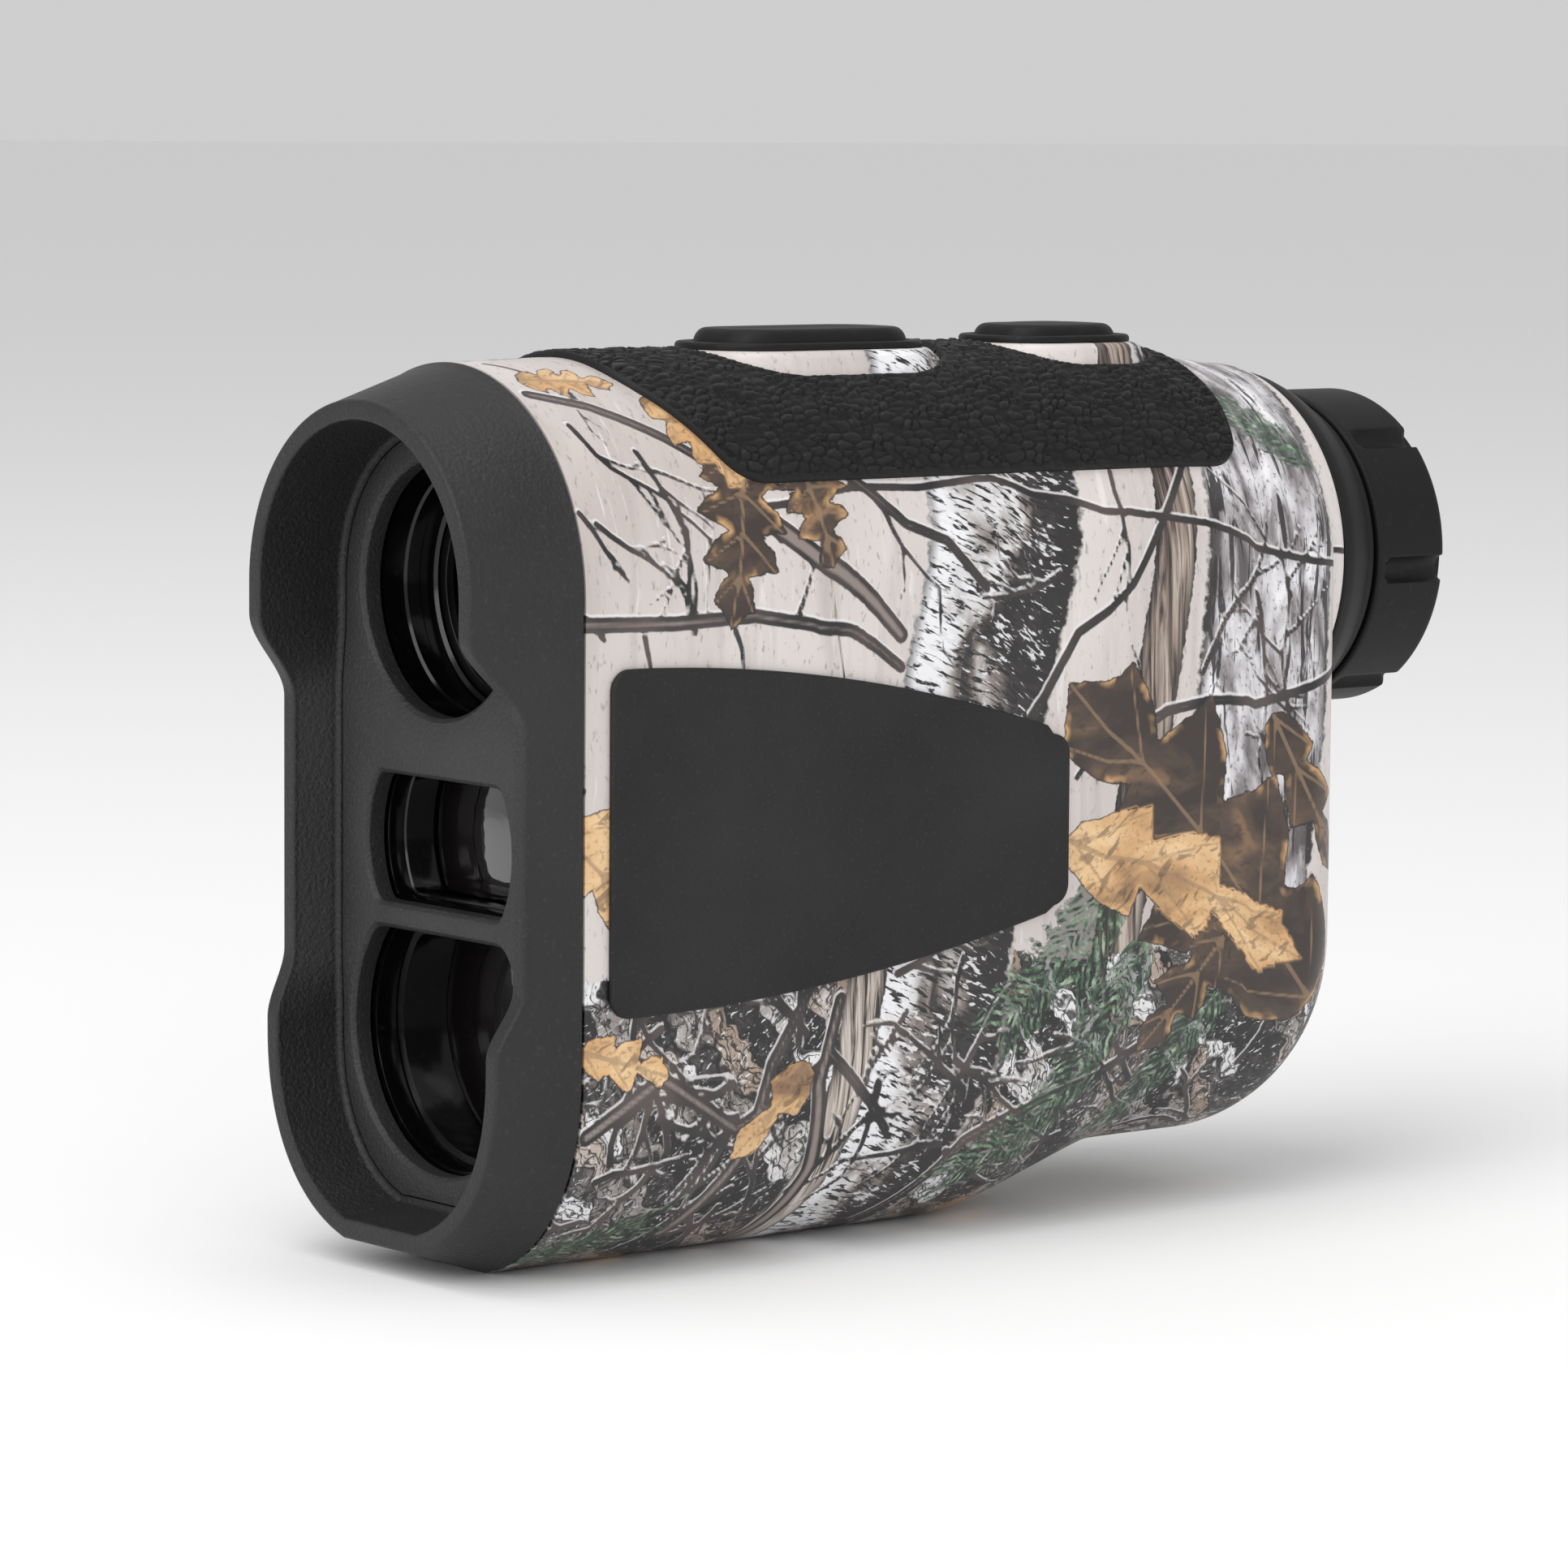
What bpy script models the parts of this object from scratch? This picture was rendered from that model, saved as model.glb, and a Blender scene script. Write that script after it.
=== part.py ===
import math

import bmesh
import bpy

for old in list(bpy.data.objects):
    bpy.data.objects.remove(old, do_unlink=True)

# Driving dimensions in millimetres. Working frame: x across, y front to rear, z up,
# with z = 0 on the eyepiece axis. The build shifts it to the row frame below.
MM = 0.001
Y_MID = 45.35
Z_BASE = 54.2
HALF_WIDTH = 17.9
WALL = 1.6
SPLIT_GAP = 0.12
SEAM_Y = 1.3
REAR_Y = 84.0
SIDE_FILLET = 5.5
BASE_FILLET = 9.0
HOOD_DRAFT = 0.31
LIP = 1.55
EYE_R = 13.8
BATTERY_R = 7.8
BATTERY_Z = -31.0
DOOR_PIVOT = (84.7, -39.9)

TOP_LINE = [(1.3, 17.95), (10, 18.15), (24, 18.25), (50, 18.35), (64.5, 18.3), (69, 18.05), (72, 17.65),
            (75, 17.2), (78.5, 16.8), (84, 16.45)]
BASE_LINE = [(1.3, -54.2), (46.5, -54.2), (48.3, -54.0), (50, -53.55),
             (61, -50.1), (62.9, -49.62), (64.5, -49.5), (84, -49.5)]
# Grip pad: half outline as (y, arc from the top centre); the corners are rounded by PAD_CORNER.
PAD_HALF = [(11.4, 0.0), (11.8, 7.8), (18.2, 19.8), (24, 19.8), (50, 19.8), (64.5, 19.8), (69, 19.8),
            (71.3, 19.8), (73.1, 13.0), (73.2, 0.0)]
PAD_CORNER = 3.0
PAD_THICK = 0.6
BADGE_FRONT = 3.6
BADGE_REAR = 50.9
BADGE_CORNER = 1.8


def lerp_table(table, v):
    if v <= table[0][0]:
        return table[0][1]
    for (a, fa), (b, fb) in zip(table, table[1:]):
        if v <= b:
            return fa + (fb - fa) * (v - a) / (b - a)
    return table[-1][1]


def smooth(a, b, v):
    t = min(1.0, max(0.0, (v - a) / (b - a)))
    return t * t * (3 - 2 * t)


def material(name, color, rough, metal=0.0):
    mat = bpy.data.materials.get(name)
    if mat is None:
        mat = bpy.data.materials.new(name)
        mat.use_nodes = True
        node = mat.node_tree.nodes["Principled BSDF"]
        node.inputs["Base Color"].default_value = (*color, 1.0)
        node.inputs["Roughness"].default_value = rough
        node.inputs["Metallic"].default_value = metal
    return mat


CAMO = ("camo_shell", (0.42, 0.39, 0.36), 0.45)
BLACK = ("black_plastic", (0.035, 0.035, 0.037), 0.55)
RUBBER = ("black_rubber", (0.02, 0.02, 0.02), 0.8)
CHARCOAL = ("charcoal_badge", (0.04, 0.04, 0.042), 0.4)
GLASS = ("coated_glass", (0.25, 0.3, 0.35), 0.05)
STEEL = ("steel", (0.6, 0.6, 0.6), 0.3, 1.0)
BRASS = ("brass", (0.7, 0.5, 0.25), 0.35, 1.0)
BOARD = ("circuit_board", (0.02, 0.14, 0.05), 0.5)
WRAP = ("battery_wrap", (0.55, 0.42, 0.1), 0.35)
ALLOY = ("anodised_alloy", (0.06, 0.06, 0.065), 0.35, 1.0)


def finish(name, bm, look, pivot=(0.0, Y_MID, -Z_BASE)):
    bmesh.ops.connect_verts_nonplanar(bm, angle_limit=0.0001, faces=bm.faces)
    bmesh.ops.recalc_face_normals(bm, faces=bm.faces)
    if bm.calc_volume(signed=True) < 0:
        bmesh.ops.reverse_faces(bm, faces=bm.faces)
    px, py, pz = pivot
    for v in bm.verts:
        x, y, z = v.co
        v.co = ((x - px) * MM, (y - py) * MM, (z - pz) * MM)
    mesh = bpy.data.meshes.new(name)
    bm.to_mesh(mesh)
    bm.free()
    obj = bpy.data.objects.new(name, mesh)
    obj.location = (px * MM, (py - Y_MID) * MM, (pz + Z_BASE) * MM)
    bpy.context.scene.collection.objects.link(obj)
    if look is not None:
        mesh.materials.append(material(*look))
    return obj


def loft(loops, cap=True, ring=False):
    """Closed solid through loops of equal count; ring joins the last loop to the first."""
    bm = bmesh.new()
    rows = [[bm.verts.new(p) for p in loop] for loop in loops]
    pairs = list(zip(rows, rows[1:]))
    if ring:
        pairs.append((rows[-1], rows[0]))
    for low, high in pairs:
        n = len(low)
        for i in range(n):
            j = (i + 1) % n
            bm.faces.new((low[i], low[j], high[j], high[i]))
    if cap and not ring:
        bm.faces.new(rows[0])
        bm.faces.new(list(reversed(rows[-1])))
    return bm


def lathe(profile, zc=0.0, segs=48, xc=0.0):
    """Solid of revolution about a line along y. profile: (r, y), closed, r = 0 on the axis."""
    segs = 4 * round(segs / 6)
    bm = bmesh.new()
    rows = []
    for r, y in profile:
        if r <= 1e-6:
            rows.append([bm.verts.new((xc, y, zc))])
            continue
        row = []
        for k in range(segs):
            a = 2 * math.pi * k / segs
            row.append(bm.verts.new((xc + r * math.sin(a), y, zc + r * math.cos(a))))
        rows.append(row)
    count = len(rows)
    for a in range(count):
        low = rows[a]
        high = rows[(a + 1) % count]
        if len(low) == 1 and len(high) == 1:
            continue
        for i in range(segs):
            j = (i + 1) % segs
            if len(low) == 1:
                bm.faces.new((low[0], high[j], high[i]))
            elif len(high) == 1:
                bm.faces.new((low[i], low[j], high[0]))
            else:
                bm.faces.new((low[i], low[j], high[j], high[i]))
    return bm


def rod(r, y0, y1, zc=0.0, segs=32, xc=0.0):
    return lathe([(0, y0), (r, y0), (r, y1), (0, y1)], zc, segs, xc)


def box(x0, x1, y0, y1, z0, z1):
    lower = [(x0, y0, z0), (x1, y0, z0), (x1, y0, z1), (x0, y0, z1)]
    upper = [(x, y1, z) for x, _, z in lower]
    return loft([lower, upper])


def cross_rod(r, x0, x1, y, z, segs=20):
    loops = []
    for x in (x0, x1):
        loop = []
        for k in range(segs):
            a = 2 * math.pi * k / segs
            loop.append((x, y + r * math.cos(a), z + r * math.sin(a)))
        loops.append(loop)
    return loft(loops)


def drum(r, z0, z1, x, y, segs=24):
    loops = []
    for z in (z0, z1):
        loop = []
        for k in range(segs):
            a = 2 * math.pi * k / segs
            loop.append((x + r * math.cos(a), y + r * math.sin(a), z))
        loops.append(loop)
    return loft(loops)


def prism(poly, y0, y1):
    return loft([[(x, y0, z) for x, z in poly], [(x, y1, z) for x, z in poly]])


def ring_prism(outer, inner, y0, y1):
    return loft([[(x, y0, z) for x, z in outer], [(x, y1, z) for x, z in outer],
                 [(x, y1, z) for x, z in inner], [(x, y0, z) for x, z in inner]], ring=True)


def round_rect(hx, y0, y1, radius, n=6):
    """Rounded rectangle in plan: x within +-hx, y0 to y1."""
    pts = []
    corners = [(hx - radius, y1 - radius, 0), (-hx + radius, y1 - radius, 90),
               (-hx + radius, y0 + radius, 180), (hx - radius, y0 + radius, 270)]
    for cx, cy, start in corners:
        for k in range(n + 1):
            a = math.radians(start + 90 * k / n)
            pts.append((cx + radius * math.cos(a), cy + radius * math.sin(a)))
    return pts


def plan_loft(levels):
    """levels: (hx, y0, y1, radius, z) stacked upwards."""
    loops = []
    for hx, y0, y1, radius, z in levels:
        loops.append([(x, y, z) for x, y in round_rect(hx, y0, y1, radius)])
    return loft(loops)


def cut_circle(r, zc, z_low, z_high, n=11):
    """Circle of radius r cut flat at z_low and z_high."""
    a0 = math.asin(max(-1.0, (z_low - zc) / r))
    a1 = math.asin(min(1.0, (z_high - zc) / r))
    right = []
    for k in range(n + 1):
        a = a0 + (a1 - a0) * k / n
        right.append((r * math.cos(a), zc + r * math.sin(a)))
    left = [(-x, z) for x, z in reversed(right)]
    return [p for i, p in enumerate(right + left) if not (abs(p[0]) < 1e-6 and i > n)]


CURVED = ("housing", "left_shell", "right_shell", "grip_pad")


def boolean(target, cutter_bm, operation):
    cutter = finish("tool", cutter_bm, None)
    cutter.hide_render = True
    cutter.display_type = "WIRE"
    mod = target.modifiers.new("op", "BOOLEAN")
    mod.operation = operation
    mod.solver = "EXACT"
    mod.object = cutter
    graph = bpy.context.evaluated_depsgraph_get()
    mesh = bpy.data.meshes.new_from_object(target.evaluated_get(graph))
    if target.name in CURVED:
        clean = bmesh.new()
        clean.from_mesh(mesh)
        bmesh.ops.remove_doubles(clean, verts=clean.verts, dist=2e-6)
        bmesh.ops.dissolve_degenerate(clean, edges=clean.edges, dist=1e-6)
        bmesh.ops.connect_verts_nonplanar(clean, angle_limit=0.0001, faces=clean.faces)
        clean.to_mesh(mesh)
        clean.free()
    target.modifiers.clear()
    target.data = mesh
    bpy.data.objects.remove(cutter, do_unlink=True)
    return target


def cut(target, cutter_bm):
    return boolean(target, cutter_bm, "DIFFERENCE")


def add(target, extra_bm):
    return boolean(target, extra_bm, "UNION")


# ---------------------------------------------------------------- housing outline
def half_outline(y, inset=0.0, n_top=10, n_side=2, n_low=9):
    """Right half of the body section at y, from top centre to bottom centre, as (x, z)."""
    side = 0.0
    low = 0.0
    if y > REAR_Y - SIDE_FILLET:
        t = min(y, REAR_Y) - (REAR_Y - SIDE_FILLET)
        side = SIDE_FILLET - math.sqrt(max(0.0, SIDE_FILLET ** 2 - t * t))
    if y > REAR_Y - BASE_FILLET:
        t = min(y, REAR_Y) - (REAR_Y - BASE_FILLET)
        low = BASE_FILLET - math.sqrt(max(0.0, BASE_FILLET ** 2 - t * t))
    w = HALF_WIDTH - side - inset
    top = lerp_table(TOP_LINE, y) - side - inset
    base = lerp_table(BASE_LINE, y) + low + inset
    centre = lerp_table(BASE_LINE, y) + 17.9
    depth = centre - base
    pts = []
    for k in range(n_top + 1):
        a = math.pi / 2 * k / n_top
        pts.append((w * math.sin(a), top * math.cos(a)))
    for k in range(1, n_side):
        pts.append((w, centre * k / n_side))
    for k in range(n_low + 1):
        a = math.pi / 2 * k / n_low
        e = 2 / 2.2
        x = w * math.cos(a) ** e if a < math.pi / 2 - 1e-9 else 0.0
        z = centre - depth * 1.033 * math.sin(a) ** e
        pts.append((x, max(z, base)))
    return pts


def outline(y, inset=0.0, **counts):
    right = half_outline(y, inset, **counts)
    left = [(-x, z) for x, z in reversed(right[1:-1])]
    return right + left


def inward(pts):
    """Inward unit normal at each point of a closed outline."""
    out = []
    n = len(pts)
    for i in range(n):
        ax, az = pts[i - 1]
        bx, bz = pts[(i + 1) % n]
        tx, tz = bx - ax, bz - az
        length = math.hypot(tx, tz) or 1.0
        out.append((tz / length, -tx / length))
    return out


STATIONS = [SEAM_Y, 24, 46.5, 48.3, 50, 61, 62.9, 64.5, 69, 72, 75, 78.5, 80, 81.2, 82.3, 83.3, REAR_Y]
INNER = [-1.0, 24, 46.5, 50, 61, 64.5, 69, 72, 75, 78.5, 80, 81.7]

housing = finish("housing", loft([[(x, y, z) for x, z in outline(y)] for y in STATIONS]), CAMO)
add(housing, lathe([(0, 70), (14.60, 70), (15.90, 76), (16.37, 79.5), (16.40, 82),
                    (16.30, 83.4), (16.00, 83.9), (15.60, 84.1), (0, 84.1)], 0, 64))
add(housing, plan_loft([(7.9, 24.2, 48.6, 7.0, 12.0), (7.9, 24.2, 48.6, 7.0, 17.2),
                        (7.6, 24.5, 48.3, 6.7, 18.0), (6.9, 25.2, 47.6, 6.0, 18.5)]))
add(housing, plan_loft([(7.4, 55.0, 72.0, 6.8, 12.0), (7.4, 55.0, 72.0, 6.8, 17.3),
                        (7.1, 55.3, 71.7, 6.5, 18.1), (6.5, 55.9, 71.1, 5.9, 18.6)]))
cut(housing, loft([[(x, y, z) for x, z in outline(max(y, 1.3), WALL)] for y in INNER]))
cut(housing, rod(12.4, 78, 88, 0, 64))
cut(housing, loft([[(x, y, z) for x, y in round_rect(5.2, 27.2, 46.4, 4.2)] for z in (13, 20)]))
cut(housing, loft([[(x, y, z) for x, y in round_rect(4.8, 57.4, 69.6, 4.2)] for z in (13, 20)]))
cut(housing, box(-11.9, 11.9, 79, 86, -42.2, -19.8))

half_tools = {"left_shell": (-SPLIT_GAP / 2, 30), "right_shell": (-30, SPLIT_GAP / 2)}
for shell_name, (x0, x1) in half_tools.items():
    shell = bpy.data.objects.new(shell_name, housing.data.copy())
    shell.location = housing.location
    bpy.context.scene.collection.objects.link(shell)
    cut(shell, box(x0, x1, -10, 110, -70, 40))
bpy.data.objects.remove(housing, do_unlink=True)


# ---------------------------------------------------------------- front bezel and lens panel
def front_line(z):
    """Where the bezel's front edge stands at height z."""
    hood = smooth(-9.5, -2.5, z)
    foot = smooth(-30.0, -35.5, z)
    return -3.5 - 4.3 * hood - 2.1 * foot


def panel_inset(z):
    return 4.8 + 0.55 * smooth(-9.5, -2.5, z) + 0.2 * smooth(-30.0, -35.5, z)


seam = outline(SEAM_Y, 0.0, n_top=11, n_side=17, n_low=10)
into = inward(seam)


def bezel_row(inset_of, y_of):
    row = []
    for (x, z), (nx, nz) in zip(seam, into):
        f = front_line(z)
        y = y_of(f)
        d = inset_of(f, z)
        row.append((x + nx * d, y, z + nz * d))
    return row


def draft(f):
    return HOOD_DRAFT * (SEAM_Y - f)


bezel_rows = [
    bezel_row(lambda f, z: 0.0, lambda f: 1.0),
    bezel_row(lambda f, z: draft(f + 0.6), lambda f: f + 0.6),
    bezel_row(lambda f, z: draft(f) + 0.15, lambda f: f + 0.15),
    bezel_row(lambda f, z: draft(f) + 0.5, lambda f: f),
    bezel_row(lambda f, z: draft(f) + LIP - 0.5, lambda f: f),
    bezel_row(lambda f, z: draft(f) + LIP - 0.1, lambda f: f + 0.15),
    bezel_row(lambda f, z: draft(f) + LIP, lambda f: f + 0.6),
    bezel_row(lambda f, z: panel_inset(z), lambda f: -0.1),
    bezel_row(lambda f, z: panel_inset(z), lambda f: 3.9),
    bezel_row(lambda f, z: 1.95, lambda f: 3.9),
    bezel_row(lambda f, z: 1.95, lambda f: 1.0),
]
finish("front_bezel", loft(bezel_rows, ring=True), BLACK)

edge = []
for (x, z), (nx, nz) in zip(seam, into):
    d = panel_inset(z) + 0.15
    edge.append((x + nx * d, z + nz * d))
panel = finish("lens_panel", prism(edge, 0.0, 1.8), BLACK)


def aperture(grow, r, zc, z_low, z_high):
    return cut_circle(r + grow, zc, z_low - grow, z_high + grow)


for r, zc, z_low, z_high in ((10.26, 0, -99, 99), (9.7, -20.4, -25.6, -15.2),
                             (11.6, -35.5, -99, -27.7)):
    stages = [(-0.5, 1.0), (0.0, 0.5), (0.55, 0.0), (2.5, 0.0)]
    loops = []
    for y, grow in stages:
        loops.append([(x, y, z) for x, z in aperture(grow, r, zc, z_low, z_high)])
    cut(panel, loft(loops))

# ---------------------------------------------------------------- grip pad
def round_corners(points, reach, steps=4, closed=False):
    """The polyline with each corner replaced by a parabola that starts reach before it."""
    out = []
    count = len(points)
    for i, corner in enumerate(points):
        if not closed and i in (0, count - 1):
            out.append(corner)
            continue
        before = points[i - 1]
        after = points[(i + 1) % count]
        ends = []
        for other in (before, after):
            gap = math.dist(corner, other)
            t = min(reach, 0.45 * gap) / gap
            ends.append([c + (o - c) * t for c, o in zip(corner, other)])
        for k in range(steps + 1):
            t = k / steps
            out.append(tuple((1 - t) ** 2 * p + 2 * t * (1 - t) * q + t * t * r
                             for p, q, r in zip(ends[0], corner, ends[1])))
    return out


def subdivide(points, step):
    """Adds points so that no step along the outline goes further than step round the shell."""
    out = [points[0]]
    for (y0, arc0), (y1, arc1) in zip(points, points[1:]):
        pieces = max(1, math.ceil(abs(arc1 - arc0) / step))
        for k in range(1, pieces + 1):
            t = k / pieces
            out.append((y0 + (y1 - y0) * t, arc0 + (arc1 - arc0) * t))
    return out


def pad_rows():
    cols = 14
    outer = []
    inner = []
    for y, arc in subdivide(round_corners(PAD_HALF, PAD_CORNER), 2.6):
        reach = max(arc, 1.0) / 18.3
        top = lerp_table(TOP_LINE, y)
        out_row = []
        in_row = []
        for k in range(cols + 1):
            a = reach * (2 * k / cols - 1)
            for row, lift in ((out_row, 0.12 + PAD_THICK), (in_row, 0.12)):
                row.append(((HALF_WIDTH + lift) * math.sin(a), y, (top + lift) * math.cos(a)))
        outer.append(out_row)
        inner.append(in_row)
    return outer, inner


def sheet(outer, inner):
    loops = [o + list(reversed(i)) for o, i in zip(outer, inner)]
    return loft(loops)


pad = finish("grip_pad", sheet(*pad_rows()), RUBBER)
cut(pad, loft([[(x, y, z) for x, y in round_rect(8.15, 23.95, 48.85, 7.25)] for z in (5, 25)]))
cut(pad, loft([[(x, y, z) for x, y in round_rect(7.65, 54.75, 72.25, 7.05)] for z in (5, 25)]))

# ---------------------------------------------------------------- side badges
def badge_top(y):
    return -5.25 - 0.0034 * (y - 4) ** 2


def badge_base(y):
    return -32.65 + 0.0027 * (y - 5) ** 2


def badge_outline(inset=0.0):
    front = BADGE_FRONT + inset
    rear = BADGE_REAR - inset
    ys = [front + (rear - front) * k / 6 for k in range(7)]
    upper = [(y, badge_top(y) - inset) for y in ys]
    lower = [(y, badge_base(y) + inset) for y in reversed(ys)]
    return round_corners(upper + lower, BADGE_CORNER - inset, 3, closed=True)


for badge_name, sign in (("right_badge", 1), ("left_badge", -1)):
    loops = []
    for x, inset in ((17.98, 0.0), (18.3, 0.0), (18.42, 0.12)):
        loops.append([(sign * x, y, z) for y, z in badge_outline(inset)])
    finish(badge_name, loft(loops), CHARCOAL)

# ---------------------------------------------------------------- buttons
def button(name, hx, y0, y1, base, top, dish, switch_top):
    pivot = (0.0, (y0 + y1) / 2, base)
    radius = hx - 1.0
    levels = [(hx, y0, y1, radius, base - 1.6), (hx, y0, y1, radius, base + 0.6),
              (hx - 0.35, y0 + 0.35, y1 - 0.35, radius - 0.35, top - 0.45),
              (hx - 0.8, y0 + 0.8, y1 - 0.8, radius - 0.8, top - 0.08),
              (hx - 1.4, y0 + 1.4, y1 - 1.4, radius - 1.3, top),
              (hx - 2.6, y0 + 3.2, y1 - 3.2, radius - 1.9, top + dish)]
    cap = finish(name, plan_loft(levels), RUBBER, pivot)
    stem = drum(1.4, switch_top, base - 1.5, 0, (y0 + y1) / 2)
    add(cap, stem)


def gasket(name, hx, y0, y1, hole, z0):
    radius = hx - 1.0
    outer_low = round_rect(hx, y0, y1, radius)
    outer_top = round_rect(hx - 0.3, y0 + 0.3, y1 - 0.3, radius - 0.3)
    h, a, b = hole
    inner = round_rect(h, a, b, h - 1.0)
    loops = [[(x, y, z0) for x, y in outer_low], [(x, y, z0 + 0.35) for x, y in outer_low],
             [(x, y, z0 + 0.55) for x, y in outer_top], [(x, y, z0 + 0.55) for x, y in inner],
             [(x, y, z0) for x, y in inner]]
    finish(name, loft(loops, ring=True), RUBBER)


button("power_button", 5.0, 27.4, 46.2, 18.5, 20.2, -0.18, 15.95)
gasket("power_button_gasket", 6.1, 25.8, 47.6, (5.15, 27.25, 46.35), 18.56)
button("mode_button", 4.6, 57.6, 69.4, 18.6, 20.1, 0.12, 15.95)
gasket("mode_button_gasket", 5.8, 56.3, 70.7, (4.75, 57.45, 69.55), 18.66)
finish("button_board", box(-6.5, 6.5, 22, 72, 13.0, 13.9), BOARD)
finish("power_switch", plan_loft([(2.4, 34.4, 39.2, 0.4, 14.0), (2.4, 34.4, 39.2, 0.4, 14.7),
                                  (1.2, 35.6, 38.0, 0.9, 14.72), (1.2, 35.6, 38.0, 0.9, 15.0)]),
       STEEL)
finish("mode_switch", plan_loft([(2.4, 61.1, 65.9, 0.4, 14.0), (2.4, 61.1, 65.9, 0.4, 14.7),
                                 (1.2, 62.3, 64.7, 0.9, 14.72), (1.2, 62.3, 64.7, 0.9, 15.0)]),
       STEEL)

# ---------------------------------------------------------------- aiming scope, front to rear
finish("objective_barrel", lathe([(10.2, 2.1), (11.9, 2.1), (11.9, 12), (11.2, 13), (11.2, 30),
                                  (9.4, 30), (9.4, 14), (9.0, 14), (9.0, 12.2), (9.8, 12.2),
                                  (9.8, 7.0), (10.2, 7.0)], 0, 56), BLACK)
finish("objective_retaining_ring", lathe([(8.9, 7.2), (9.65, 7.2), (9.65, 8.8), (9.3, 8.8)],
                                         0, 56), ALLOY)
finish("objective_lens", lathe([(0, 8.3), (3, 8.4), (6, 8.75), (9.2, 9.4), (9.6, 9.45),
                                (9.6, 11.9), (8.6, 11.9), (5, 12.3), (0, 12.5)], 0, 56), GLASS)
holder = finish("prism_holder", box(-11.6, 11.6, 31, 55.5, -11.6, 11.2), ALLOY)
cut(holder, box(-10.3, 10.3, 29, 54.0, -10.0, 10.1))
cut(holder, rod(9.0, 50, 60, 0, 40))


def side_prism(name, poly, half):
    """Prism with an outline in the y-z plane, extruded across x."""
    loops = [[(x, y, z) for y, z in poly] for x in (-half, half)]
    finish(name, loft(loops), GLASS)


side_prism("front_prism", [(31.6, -9.7), (31.6, 9.7), (36.5, 9.7), (46.2, -2.0), (38.5, -9.7)],
           10.0)
side_prism("rear_prism", [(39.4, -9.7), (47.0, -2.1), (37.5, 9.7), (53.6, 9.7), (53.6, -9.7)],
           10.0)
finish("reticle_display", box(-8.4, 8.4, 56.2, 57.6, -8.4, 8.4), GLASS)
barrel_profile = [(10.95, 58.2), (12.0, 58.2), (12.0, 95.0), (10.95, 95.0), (10.95, 74.0),
                  (10.0, 74.0), (10.0, 72.6), (10.95, 72.6)]
finish("eyepiece_barrel", lathe(barrel_profile, 0, 56), BLACK)
finish("field_lens", lathe([(0, 73.9), (4, 74.1), (7.5, 74.8), (9.8, 75.4), (9.8, 76.6),
                            (10.8, 76.6), (10.8, 79.0), (7, 79.7), (0, 80.2)], 0, 48), GLASS)
finish("eyepiece_collar", lathe([(12.5, 84.15), (15.6, 84.15), (15.9, 84.4), (15.75, 85.4), (15.1, 87.0),
                                 (14.3, 88.3), (EYE_R - 0.2, 89.2), (EYE_R - 0.2, 89.6),
                                 (EYE_R - 0.5, 89.9), (12.15, 89.9), (12.15, 87.0)], 0, 64), BLACK)
ring = finish("diopter_ring", lathe([(12.3, 90.2), (EYE_R - 0.3, 90.2), (EYE_R, 90.5),
                                     (EYE_R, 97.3), (EYE_R - 0.4, 98.1), (EYE_R - 1.2, 98.5),
                                     (12.2, 98.5), (12.2, 95.9), (12.3, 95.9)], 0, 84),
              RUBBER, (0.0, 94.0, 0.0))
for k in range(7):
    a = math.radians(44 + 360 / 7 * k)
    cut(ring, rod(1.25, 91.2, 99.5, 14.05 * math.sin(a), 14, 14.05 * math.cos(a)))
finish("eyecup_ring", lathe([(8.3, 97.0), (9.2, 96.2), (12.0, 96.2), (12.0, 98.5), (10.4, 98.5),
                             (9.0, 98.0)], 0, 64), RUBBER, (0.0, 94.0, 0.0))
finish("eye_lens_cell", lathe([(8.6, 84.0), (10.75, 84.0), (10.75, 94.0), (8.6, 94.0),
                               (8.6, 92.6), (9.6, 92.6), (9.6, 85.4), (8.6, 85.4)], 0, 56),
       ALLOY, (0.0, 94.0, 0.0))
finish("eye_lens", lathe([(0, 85.9), (5, 86.2), (9.2, 87.0), (9.4, 87.0), (9.4, 91.4),
                          (9.2, 91.4), (5, 92.1), (0, 92.4)], 0, 48), GLASS, (0.0, 94.0, 0.0))

# ---------------------------------------------------------------- laser emitter and receiver
finish("emitter_tube", ring_prism(cut_circle(10.5, -20.4, -26.4, -14.4),
                                  cut_circle(9.5, -20.4, -25.4, -15.4), 2.1, 30.0), BLACK)
finish("receiver_tube", ring_prism(cut_circle(12.2, -35.5, -99, -26.9),
                                   cut_circle(11.2, -35.5, -99, -27.9), 2.1, 40.0), BLACK)
EMIT = [(0.0, 5.4), (4.6, 5.7), (9.3, 6.8), (9.3, 10.0), (0.0, 10.0)]
emitter = finish("emitter_lens", lathe(EMIT, -20.4, 48), GLASS)
cut(emitter, box(-20, 20, 0, 20, -15.6, 5))
cut(emitter, box(-20, 20, 0, 20, -45, -25.2))
RECV = [(0.0, 7.2), (5.5, 7.6), (11.0, 9.0), (11.0, 12.5), (0.0, 12.5)]
receiver = finish("receiver_lens", lathe(RECV, -35.5, 56), GLASS)
cut(receiver, box(-20, 20, 0, 20, -28.1, 5))
diode = finish("laser_diode", prism(cut_circle(10.5, -20.4, -26.4, -14.4), 30.3, 31.5), ALLOY)
add(diode, rod(2.8, 27.0, 31.0, -20.4, 32))
add(diode, rod(0.9, 26.0, 28.0, -20.4, 16))
apd = finish("photodiode", prism(cut_circle(12.2, -35.5, -99, -26.9), 40.3, 41.5), ALLOY)
add(apd, rod(3.2, 37.5, 41.0, -35.5, 32))
finish("chassis_plate", box(-14.5, 14.5, 5.0, 79.5, -13.4, -12.2), ALLOY)
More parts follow.
